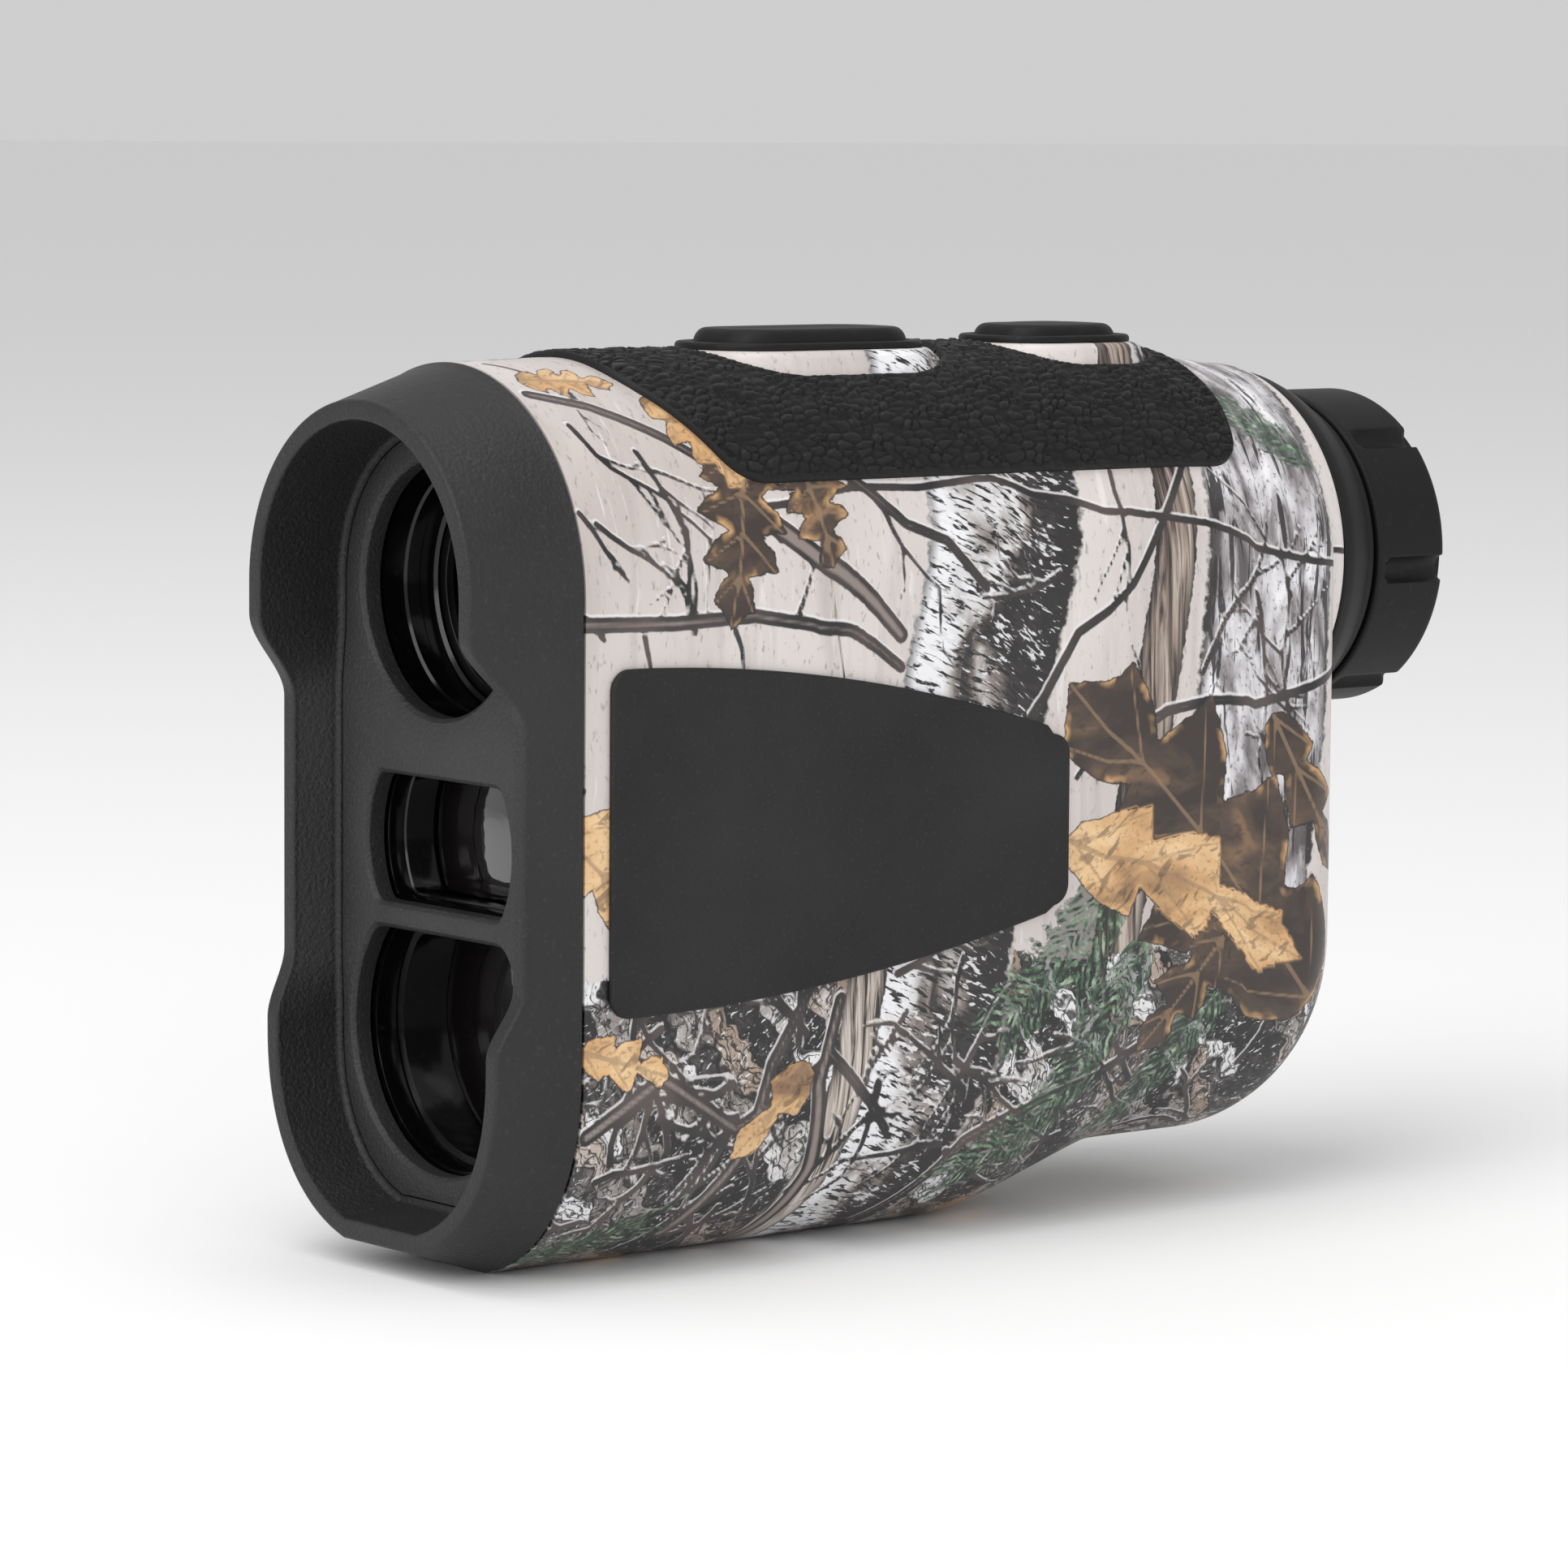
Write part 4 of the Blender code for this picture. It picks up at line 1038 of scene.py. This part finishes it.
def bezel(material):
    px, pz, nx, nz = seam_outline()
    front = bezel_front(pz)
    deep = bezel_inset(pz)
    loops = []

    def row(inset, y):
        loops.append(np.stack([px + nx * inset, np.broadcast_to(y, px.shape), pz + nz * inset], 1))

    row(0.12, np.full(len(px), 1.18))
    row(0.0, np.full(len(px), 1.02))
    for k in range(1, 15):
        y = 1.0 + (front + 0.75 - 1.0) * k / 14
        row(HOOD_DRAFT * (SEAM_Y - y), y)
    outer = HOOD_DRAFT * (SEAM_Y - front - 0.75)
    lip_in = HOOD_DRAFT * (SEAM_Y - front) + LIP
    radius = 0.4
    row(outer + 0.1, front + radius)
    for a in quarter(6):
        row(outer + 0.1 + radius * (1 - math.cos(a)), front + radius * (1 - math.sin(a)))
    edge = 0.26
    flat0 = outer + 0.1 + radius
    flat1 = lip_in - edge
    for k in range(1, 5):
        row(flat0 + (flat1 - flat0) * k / 4, front)
    for a in quarter(6):
        row(flat1 + edge * math.sin(a), front + edge * (1 - math.cos(a)))
    reach = deep - 0.55 - lip_in
    for k in range(1, 13):
        t = k / 12
        row(lip_in + reach * t, front + edge + (-0.55 - front - edge) * t)
    for a in quarter(6):
        row(deep - 0.55 + 0.55 * (1 - math.cos(a)), -0.55 + 0.5 * math.sin(a))
    row(deep, np.full(len(px), 0.6))
    row(deep, np.full(len(px), 3.9))
    row(1.95, np.full(len(px), 3.9))
    row(1.95, np.full(len(px), 1.18))
    pts = np.concatenate(loops)
    faces = grid_faces(len(loops), len(px), wrap_rows=True, wrap_cols=True)
    obj = make_object("bezel_moulding", pts, faces.tolist(), "housing", ("front_bezel",), sharp=50)
    face_out(obj)
    finish(obj, material)


# (radius, centre z, lower cut, upper cut)
APERTURES = ((10.26, 0.0, -NO_CUT, NO_CUT), (9.7, -20.4, -25.6, -15.2),
             (11.6, -35.5, -NO_CUT, -27.7))


def aperture_loop(index, grow, count=160):
    """Points of one aperture, evenly spread, with its corners rounded."""
    r, zc, z_low, z_high = APERTURES[index]
    pts = cut_circle(r + grow, zc, z_low - grow, z_high + grow, 60)
    pts = np.array(pts + pts[:1])
    step = np.concatenate([[0], np.cumsum(np.hypot(*np.diff(pts, axis=0).T))])
    at = np.linspace(0, step[-1], count, endpoint=False)
    x = np.interp(at, step, pts[:, 0])
    z = np.interp(at, step, pts[:, 1])
    for _ in range(4 if index else 0):
        x = (np.roll(x, 1) + 2 * x + np.roll(x, -1)) / 4
        z = (np.roll(z, 1) + 2 * z + np.roll(z, -1)) / 4
    return x, z


def lens_panel(material):
    """Flat plate with three apertures, each with a rolled edge; filled between its edge loops."""
    px, pz, nx, nz = seam_outline(48, 60, 48)
    d = bezel_inset(pz) + 0.12
    bm = bmesh.new()

    def ring_of(x, z, y):
        return [bm.verts.new(to_row([(a, y, b)])[0].tolist()) for a, b in zip(x, z)]

    def edges_of(ring):
        return [bm.edges.new((ring[i - 1], ring[i])) for i in range(len(ring))]

    border = ring_of(px + nx * d, pz + nz * d, 0.0)
    loops = edges_of(border)
    starts = []
    for index in range(3):
        x, z = aperture_loop(index, 0.4)
        first = ring_of(x, z, 0.0)
        loops += edges_of(first)
        starts.append(first)
    bmesh.ops.triangle_fill(bm, edges=loops, use_beauty=True)
    for index, previous in enumerate(starts):
        for grow, y in ((0.36, 0.02), (0.32, 0.05), (0.06, 0.3), (0.02, 0.36), (0.0, 0.45),
                        (0.0, 1.75)):
            x, z = aperture_loop(index, grow)
            ring = ring_of(x, z, y)
            for i in range(len(ring)):
                bm.faces.new((previous[i - 1], previous[i], ring[i], ring[i - 1]))
            previous = ring
    back = ring_of(px + nx * d, pz + nz * d, 1.75)
    for i in range(len(back)):
        bm.faces.new((border[i - 1], border[i], back[i], back[i - 1]))
    mesh = bpy.data.meshes.new("lens_panel_face")
    bmesh.ops.recalc_face_normals(bm, faces=bm.faces)
    up = sum(f.normal.y * f.calc_area() for f in bm.faces)
    if up > 0:
        bmesh.ops.reverse_faces(bm, faces=bm.faces)
    bm.to_mesh(mesh)
    bm.free()
    obj = linked("lens_panel_face", mesh)
    mesh.shade_smooth()
    mesh.set_sharp_from_angle(angle=math.radians(28))
    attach(obj, "housing")
    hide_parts("lens_panel")
    finish(obj, material)


# ------------------------------------------------------------------ tubes and lenses
def tube_piece(name, index, shrink, wall, y0, y1, steps, material, node):
    """Square-shouldered tube with the aperture's outline. steps: (y, extra inset) of its bore."""
    loops = []

    def loop(grow, y):
        x, z = aperture_loop(index, grow)
        loops.append([(a, y, b) for a, b in zip(x, z)])

    loop(shrink + wall, y1)
    loop(shrink + wall, y0)
    loop(shrink + 0.1, y0)
    for y, inset in steps:
        loop(shrink - inset, y)
    loop(shrink, y1)
    obj = stack(name, loops, "housing", (node,), ring=True, sharp=30)
    finish(obj, material)


def crown(r, y, sag):
    """Half profile of a curved lens face, from its centre outward."""
    return [(r * k / 10, y + sag * (k / 10) ** 2) for k in range(11)]


def lens_disc(name, profile, zc, cut_low, cut_high, material, node, body="housing"):
    """A turned lens, or one with flats where cut_low or cut_high clip its circle."""
    loops = []
    for r, y in rounded(profile, 0.12, 2):
        r = r if r >= 1e-6 else 0.02
        loops.append([(x, y, z) for x, z in clipped_circle(r, zc, cut_low, cut_high)])
    obj = stack(name, loops, body, (node,), sharp=35)
    finish(obj, material)
    return obj


def clipped_circle(r, zc, low, high, count=120):
    out = []
    for k in range(count):
        a = TAU * k / count
        out.append((r * math.cos(a), min(high, max(low, zc + r * math.sin(a)))))
    return out


def optics(gloss, glass, window, alloy):
    profile = [(10.2, 2.1), (11.9, 2.1), (11.9, 12.0), (11.2, 13.0), (11.2, 30.0), (9.4, 30.0),
               (9.4, 14.0), (9.0, 14.0), (9.0, 12.2), (9.8, 12.2), (9.8, 9.7)]
    profile += [(9.75, 7.1), (10.1, 6.9), (10.1, 5.6), (9.95, 5.4), (9.95, 4.2), (10.15, 4.0)]
    turned_piece("objective_barrel_bore", profile, "housing", "objective_barrel", gloss,
                 sharp=25)
    ring = rounded([(8.75, 7.2), (9.65, 7.2), (9.65, 8.8), (9.3, 8.8), (8.75, 7.9)], 0.15, 3)
    turned_piece("objective_lock_ring", ring, "housing", "objective_retaining_ring", alloy,
                 sharp=30)
    lens = crown(9.2, 8.3, 1.1) + [(9.6, 9.45), (9.6, 11.9), (8.6, 11.9), (5, 12.3), (0, 12.5)]
    lens_disc("objective_glass", lens, 0.0, -NO_CUT, NO_CUT, glass, "objective_lens")
    tube_piece("emitter_well", 1, -0.2, 1.0, 2.1, 30.0,
               [(2.3, 0.0), (3.6, 0.0), (3.7, 0.18), (4.7, 0.18), (4.8, 0.0)], gloss,
               "emitter_tube")
    tube_piece("receiver_well", 2, -0.4, 1.0, 2.1, 40.0,
               [(2.3, 0.0), (4.2, 0.0), (4.35, 0.55), (5.6, 0.55), (5.75, 0.3), (6.7, 0.3)],
               gloss, "receiver_tube")
    lens = crown(9.2, 5.4, 1.35) + [(9.3, 6.9), (9.3, 10.0), (0, 10.0)]
    lens_disc("emitter_glass", lens, -20.4, -25.2, -15.6, window, "emitter_lens")
    lens = crown(10.9, 7.2, 1.75) + [(11.0, 9.1), (11.0, 12.5), (0, 12.5)]
    lens_disc("receiver_glass", lens, -35.5, -NO_CUT, -28.1, window, "receiver_lens")


def battery(film, steel):
    """A wrapped can with a bare, crimped steel end at each side."""
    can = rounded([(0, 54.6), (7.2, 54.6), (7.8, 54.9), (7.8, 79.9), (7.2, 80.2), (0, 80.2)], 0.25, 4)
    turned_piece("battery_can", can, "housing", "battery", film, zc=BATTERY_Z)
    cap = rounded([(0, 79.6), (7.0, 79.6), (7.0, 80.4), (6.4, 80.4), (6.0, 80.28), (0, 80.28)], 0.1, 3)
    turned_piece("battery_base", cap, "housing", None, steel, zc=BATTERY_Z)
    tip = rounded([(0, 53.4), (3.6, 53.4), (3.6, 54.4), (6.8, 54.4), (6.8, 55.0), (0, 55.0)], 0.2, 3)
    turned_piece("battery_tip", tip, "housing", None, steel, zc=BATTERY_Z)


# ------------------------------------------------------------------ buttons and badges
def plan_stack(name, levels, body, node, material, ring=False):
    """levels: (half-width, y0, y1, corner radius, z)."""
    loops = []
    for hx, y0, y1, radius, z in levels:
        loops.append([(x, y, z) for x, y in round_rect(hx, y0, y1, radius, 24)])
    obj = stack(name, loops, body, (node,), ring=ring, sharp=40)
    finish(obj, material)
    return obj


def button_cap(name, hx, y0, y1, base, top, dish, material):
    radius = hx - 1.0
    levels = [(hx, y0, y1, radius, base - 1.6), (hx, y0, y1, radius, base + 0.3)]
    for a in quarter(10):
        inset = 1.0 * (1 - math.cos(a))
        levels.append((hx - inset, y0 + inset, y1 - inset, radius - inset * 0.8,
                       base + 0.3 + (top - base - 0.3) * math.sin(a)))
    for k in range(1, 12):
        t = k / 12
        inset = 1.0 + (hx - 1.25) * t
        low = dish * math.sin(math.pi / 2 * min(1, t * 1.4)) ** 2
        levels.append((hx - inset, y0 + inset * 1.3, y1 - inset * 1.3,
                       max(0.05, (radius - 0.8) * (1 - t)), top + low))
    plan_stack(name + "_cap", levels, name, name, material)


def gasket_lip(name, hx, y0, y1, hole, z0, material):
    radius = hx - 1.0
    h, a, b = hole
    levels = [(hx, y0, y1, radius, z0)]
    for t in [0.0] + quarter(8):
        inset = 0.35 * (1 - math.cos(t))
        levels.append((hx - inset, y0 + inset, y1 - inset, radius - inset,
                       z0 + 0.2 + 0.35 * math.sin(t)))
    levels += [(h + 0.15, a - 0.15, b + 0.15, h - 0.85, z0 + 0.55), (h, a, b, h - 1.0, z0 + 0.42),
               (h, a, b, h - 1.0, z0)]
    plan_stack(name + "_lip", levels, "housing", name, material, ring=True)


def badge_corners(inset):
    ys = np.linspace(3.6 + inset, 50.9 - inset, 40)
    upper = [(y, -5.25 - 0.0034 * (y - 4) ** 2 - inset) for y in ys]
    lower = [(y, -32.65 + 0.0027 * (y - 5) ** 2 + inset) for y in reversed(ys)]
    pts = []
    for edge, turn in ((upper, 1), (lower, -1)):
        first, last = edge[0], edge[-1]
        r = 1.8 - inset
        middle = [p for p in edge if r < abs(p[0] - first[0]) and r < abs(p[0] - last[0])]
        for k in range(10):
            a = math.pi / 2 * k / 10
            pts.append((first[0] + turn * r * (1 - math.cos(a)), first[1] - turn * r * (1 - math.sin(a))))
        pts += middle
        for k in range(10):
            a = math.pi / 2 * k / 10
            pts.append((last[0] - turn * r * (1 - math.sin(a)), last[1] - turn * r * (1 - math.cos(a))))
    return pts


def badge(name, sign, material):
    loops = []
    levels = [(17.96, 0.0), (18.2, 0.0), (18.32, 0.03), (18.39, 0.1), (18.42, 0.2)]
    for x, inset in levels:
        loops.append([(sign * x, y, z) for y, z in badge_corners(inset)])
    obj = stack(name + "_plate", loops, "housing", (name,), sharp=50)
    finish(obj, material)


# ------------------------------------------------------------------ eyepiece
def eyepiece(rubber, black, glass, alloy):
    r = EYE_R - 0.2
    collar = rounded([(12.5, 84.15), (15.9, 84.15), (15.75, 85.4), (15.1, 87.0), (14.3, 88.3),
                      (r, 89.2), (r, 89.9), (12.15, 89.9), (12.15, 87.0)], 0.4, 5)
    turned_piece("eyepiece_collar_ring", collar, "housing", "eyepiece_collar", black,
                 sharp=30)
    barrel = rounded([(10.95, 58.2), (12.0, 58.2), (12.0, 95.0), (10.95, 95.0), (10.95, 74.0),
                      (10.0, 74.0), (10.0, 72.6), (10.95, 72.6)], 0.12, 2)
    turned_piece("eyepiece_barrel_tube", barrel, "housing", "eyepiece_barrel", black,
                 sharp=30)
    diopter_grip(rubber)
    cup = rounded([(8.3, 97.0), (9.2, 96.2), (12.0, 96.2), (12.0, 98.5), (10.4, 98.5),
                   (9.0, 98.0)], 0.35, 5)
    turned_piece("eyecup_lip", cup, "diopter_ring", "eyecup_ring", rubber,
                 sharp=30)
    cell = rounded([(8.6, 84.0), (10.75, 84.0), (10.75, 94.0), (8.6, 94.0), (8.6, 92.6),
                    (9.6, 92.6), (9.6, 85.4), (8.6, 85.4)], 0.1, 2)
    turned_piece("eye_cell_ring", cell, "eye_lens_cell", "eye_lens_cell", alloy,
                 sharp=30)
    lens = crown(9.2, 92.4, -1.0) + [(9.4, 91.3), (9.4, 87.1)] + crown(9.2, 85.9, 1.1)[::-1]
    lens_disc("eye_glass", lens, 0.0, -NO_CUT, NO_CUT, glass, "eye_lens", "eye_lens_cell")


def diopter_grip(material):
    """The turned ring with seven long thumb grooves pressed into its rim."""
    outer = rounded([(12.3, 90.2), (EYE_R, 90.2), (EYE_R, 98.0), (EYE_R - 0.9, 98.5),
                     (12.2, 98.5)], 0.45, 6)
    fine = []
    for p, q in zip(outer, outer[1:] + outer[:1]):
        fine.append(p)
        gap = math.dist(p, q)
        for k in range(1, int(gap / 0.35)):
            t = k / int(gap / 0.35)
            fine.append((p[0] + (q[0] - p[0]) * t, p[1] + (q[1] - p[1]) * t))
    segs = 560
    pts = []
    for k in range(segs):
        a = TAU * k / segs
        for r, y in fine:
            depth = 0.0
            for j in range(7):
                off = (a - math.radians(44 + 360 / 7 * j) + math.pi) % TAU - math.pi
                side = 14.05 * off
                end = max(0.0, 91.9 - y)
                span = 1.21 ** 2 - side * side - end * end * 2.2
                if span > 0:
                    depth = max(depth, math.sqrt(span) - 0.25)
            if r > 12.8:
                r = max(12.75, r - depth * min(1, (r - 12.6) * 2))
            pts.append((r * math.sin(a), y, r * math.cos(a)))
    faces = grid_faces(segs, len(fine), wrap_rows=True, wrap_cols=True)
    obj = make_object("diopter_grip", pts, faces.tolist(), "diopter_ring", ("diopter_ring",),
                      sharp=38)
    face_out(obj)
    finish(obj, material)


# ------------------------------------------------------------------ copies with softened edges
def softened_copy(node, body, material, width=0.18):
    """A bevelled copy of a CAD node, for parts whose shape is right but whose edges are hard."""
    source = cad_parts[node]
    mesh = source.data.copy()
    mesh.materials.clear()
    obj = linked(node + "_moulding", mesh)
    bm = bmesh.new()
    bm.from_mesh(mesh)
    bmesh.ops.remove_doubles(bm, verts=bm.verts, dist=2e-6)
    bmesh.ops.dissolve_limit(bm, angle_limit=math.radians(1.5), verts=bm.verts, edges=bm.edges)
    hard = [e for e in bm.edges if len(e.link_faces) == 2 and e.calc_face_angle(0) > 0.6]
    bmesh.ops.bevel(bm, geom=hard, offset=width * MM, segments=2, profile=0.7, affect="EDGES",
                    clamp_overlap=True)
    bm.to_mesh(mesh)
    bm.free()
    mesh.shade_smooth()
    mesh.set_sharp_from_angle(angle=math.radians(30))
    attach(obj, body)
    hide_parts(node)
    finish(obj, material)


def dress(nodes, material):
    for node in nodes:
        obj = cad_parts[node]
        for slot in obj.material_slots:
            slot.material = material


# ------------------------------------------------------------------ build
plastic = moulded("bezel_grain", srgb(31, 31, 32), 0.46, 3000.0, 1.0, 0.00012, 0.1)
# the lens panel is the same plastic as the bezel; its lighter colour is painted light for the light
# falling on its front face
lit_panel_grain = moulded("lit_panel_grain", srgb(41, 41, 42), 0.46, 3000.0, 1.0, 0.00012, 0.08)
rubber = moulded("matte_rubber", srgb(9, 9, 10), 0.55, 1500.0, 0.25, 0.00006, 0.1, 0.28)
eye_black = moulded("eyepiece_rubber", srgb(9, 9, 10), 0.5, 2100.0, 0.25, 0.00005, 0.08, 0.28)
charcoal = moulded("badge_satin", srgb(37, 37, 38), 0.5, 4200.0, 0.06, 0.00002, 0.04, 0.22)
gloss = moulded("bore_gloss", srgb(6, 6, 7), 0.14, 1800.0, 0.05, 0.00002, 0.08)
glass = glassy("coated_lens", srgb(20, 17, 20))
window = glassy("infrared_window", srgb(26, 22, 24), 0.03, 1.6)
alloy = metallic("black_anodised", srgb(48, 48, 50), 0.35)
bright = metallic("turned_steel", srgb(190, 190, 192), 0.28)
brass = metallic("contact_brass", srgb(206, 172, 96), 0.3)
board = moulded("solder_mask", srgb(22, 74, 46), 0.4, 900.0, 0.2, 0.00004, 0.1)
wrap = moulded("battery_film", srgb(52, 70, 96), 0.35, 700.0, 0.08, 0.00002, 0.05)

camo = camo_material()
shell_half("right_shell_skin", 1, camo)
shell_half("left_shell_skin", -1, camo)
grip_pad()
bezel(plastic)
lens_panel(lit_panel_grain)
optics(gloss, glass, window, alloy)
badge("right_badge", 1, charcoal)
badge("left_badge", -1, charcoal)
button_cap("power_button", 5.0, 27.4, 46.2, 18.5, 20.2, -0.18, rubber)
gasket_lip("power_button_gasket", 6.1, 25.8, 47.6, (5.15, 27.25, 46.35), 18.56, rubber)
button_cap("mode_button", 4.6, 57.6, 69.4, 18.6, 20.1, 0.12, rubber)
gasket_lip("mode_button_gasket", 5.8, 56.3, 70.7, (4.75, 57.45, 69.55), 18.66, rubber)
eyepiece(rubber, eye_black, glass, alloy)
softened_copy("battery_door", "battery_door", plastic)
battery(wrap, bright)
softened_copy("battery_door_frame", "housing", plastic)

dress(["chassis_plate", "prism_holder", "laser_diode", "photodiode"], alloy)
dress(["front_prism", "rear_prism", "field_lens", "reticle_display"], glass)
dress(["main_board", "laser_driver_board", "button_board"], board)
dress(["board_screw_1", "board_screw_2", "board_screw_3", "board_screw_4", "door_hinge_pin",
       "power_switch", "mode_switch"], bright)
dress(["bay_contact", "door_contact"], brass)
dress(["battery_sleeve", "processor_chip", "range_timer_chip"], plastic)

# ------------------------------------------------------------------ floor, light and camera
def studio_floor():
    mesh = bpy.data.meshes.new("studio_floor")
    half = 12.0
    z = -0.0002
    mesh.from_pydata([(-half, -half, z), (half, -half, z), (half, half, z), (-half, half, z)], [],
                     [(0, 1, 2, 3)])
    floor = linked("studio_floor", mesh)
    n = Nodes("studio_white")
    n.set(color=srgb(250, 250, 250), rough=0.9)
    mesh.materials.append(n.mat)


def softbox(name, location, target, size, power):
    light = bpy.data.lights.new(name, "AREA")
    light.shape = "RECTANGLE"
    light.size, light.size_y = size
    light.energy = power
    obj = linked(name, light)
    obj.location = location
    aim = Vector(target) - Vector(location)
    obj.rotation_euler = aim.to_track_quat("-Z", "Y").to_euler()


def camera():
    """Viewing angle, roll and framing of the main picture."""
    azimuth, elevation, roll = (math.radians(a) for a in (51.11, 6.129, 0.447))
    back = Vector((math.sin(azimuth) * math.cos(elevation),
                   -math.cos(azimuth) * math.cos(elevation), math.sin(elevation)))
    right = Vector((math.cos(azimuth), math.sin(azimuth), 0))
    up = back.cross(right)
    x_axis = right * math.cos(roll) + up * math.sin(roll)
    y_axis = up * math.cos(roll) - right * math.sin(roll)
    data = bpy.data.cameras.new("camera")
    data.lens = 145.0
    data.sensor_width = 36.0
    data.clip_start = 0.01
    data.clip_end = 50.0
    obj = linked("camera", data)
    matrix = Matrix((x_axis, y_axis, back)).transposed().to_4x4()
    matrix.translation = Vector(to_row([(405.6, -291.7, 38.3)])[0])
    obj.matrix_world = matrix
    bpy.context.scene.camera = obj


studio_floor()
centre = (0, 0, 0.036)
softbox("key", (0.25, -0.75, 0.75), centre, (0.7, 0.7), 3.6)
softbox("side", (1.0, 0.15, 0.35), centre, (0.9, 0.7), 1.3)
softbox("front", (0.05, -1.1, 0.35), centre, (0.5, 0.6), 2.6)
softbox("fill", (1.0, -0.55, 0.45), centre, (0.35, 0.35), 0.9)
softbox("top", (0.0, -0.15, 1.0), centre, (0.6, 0.6), 2.2)
world = bpy.data.worlds.new("white_studio")
world.use_nodes = True
world.node_tree.nodes["Background"].inputs["Color"].default_value = (1, 1, 1, 1)
world.node_tree.nodes["Background"].inputs["Strength"].default_value = 0.62
bpy.context.scene.world = world
bpy.context.scene.view_settings.view_transform = "Standard"
camera()
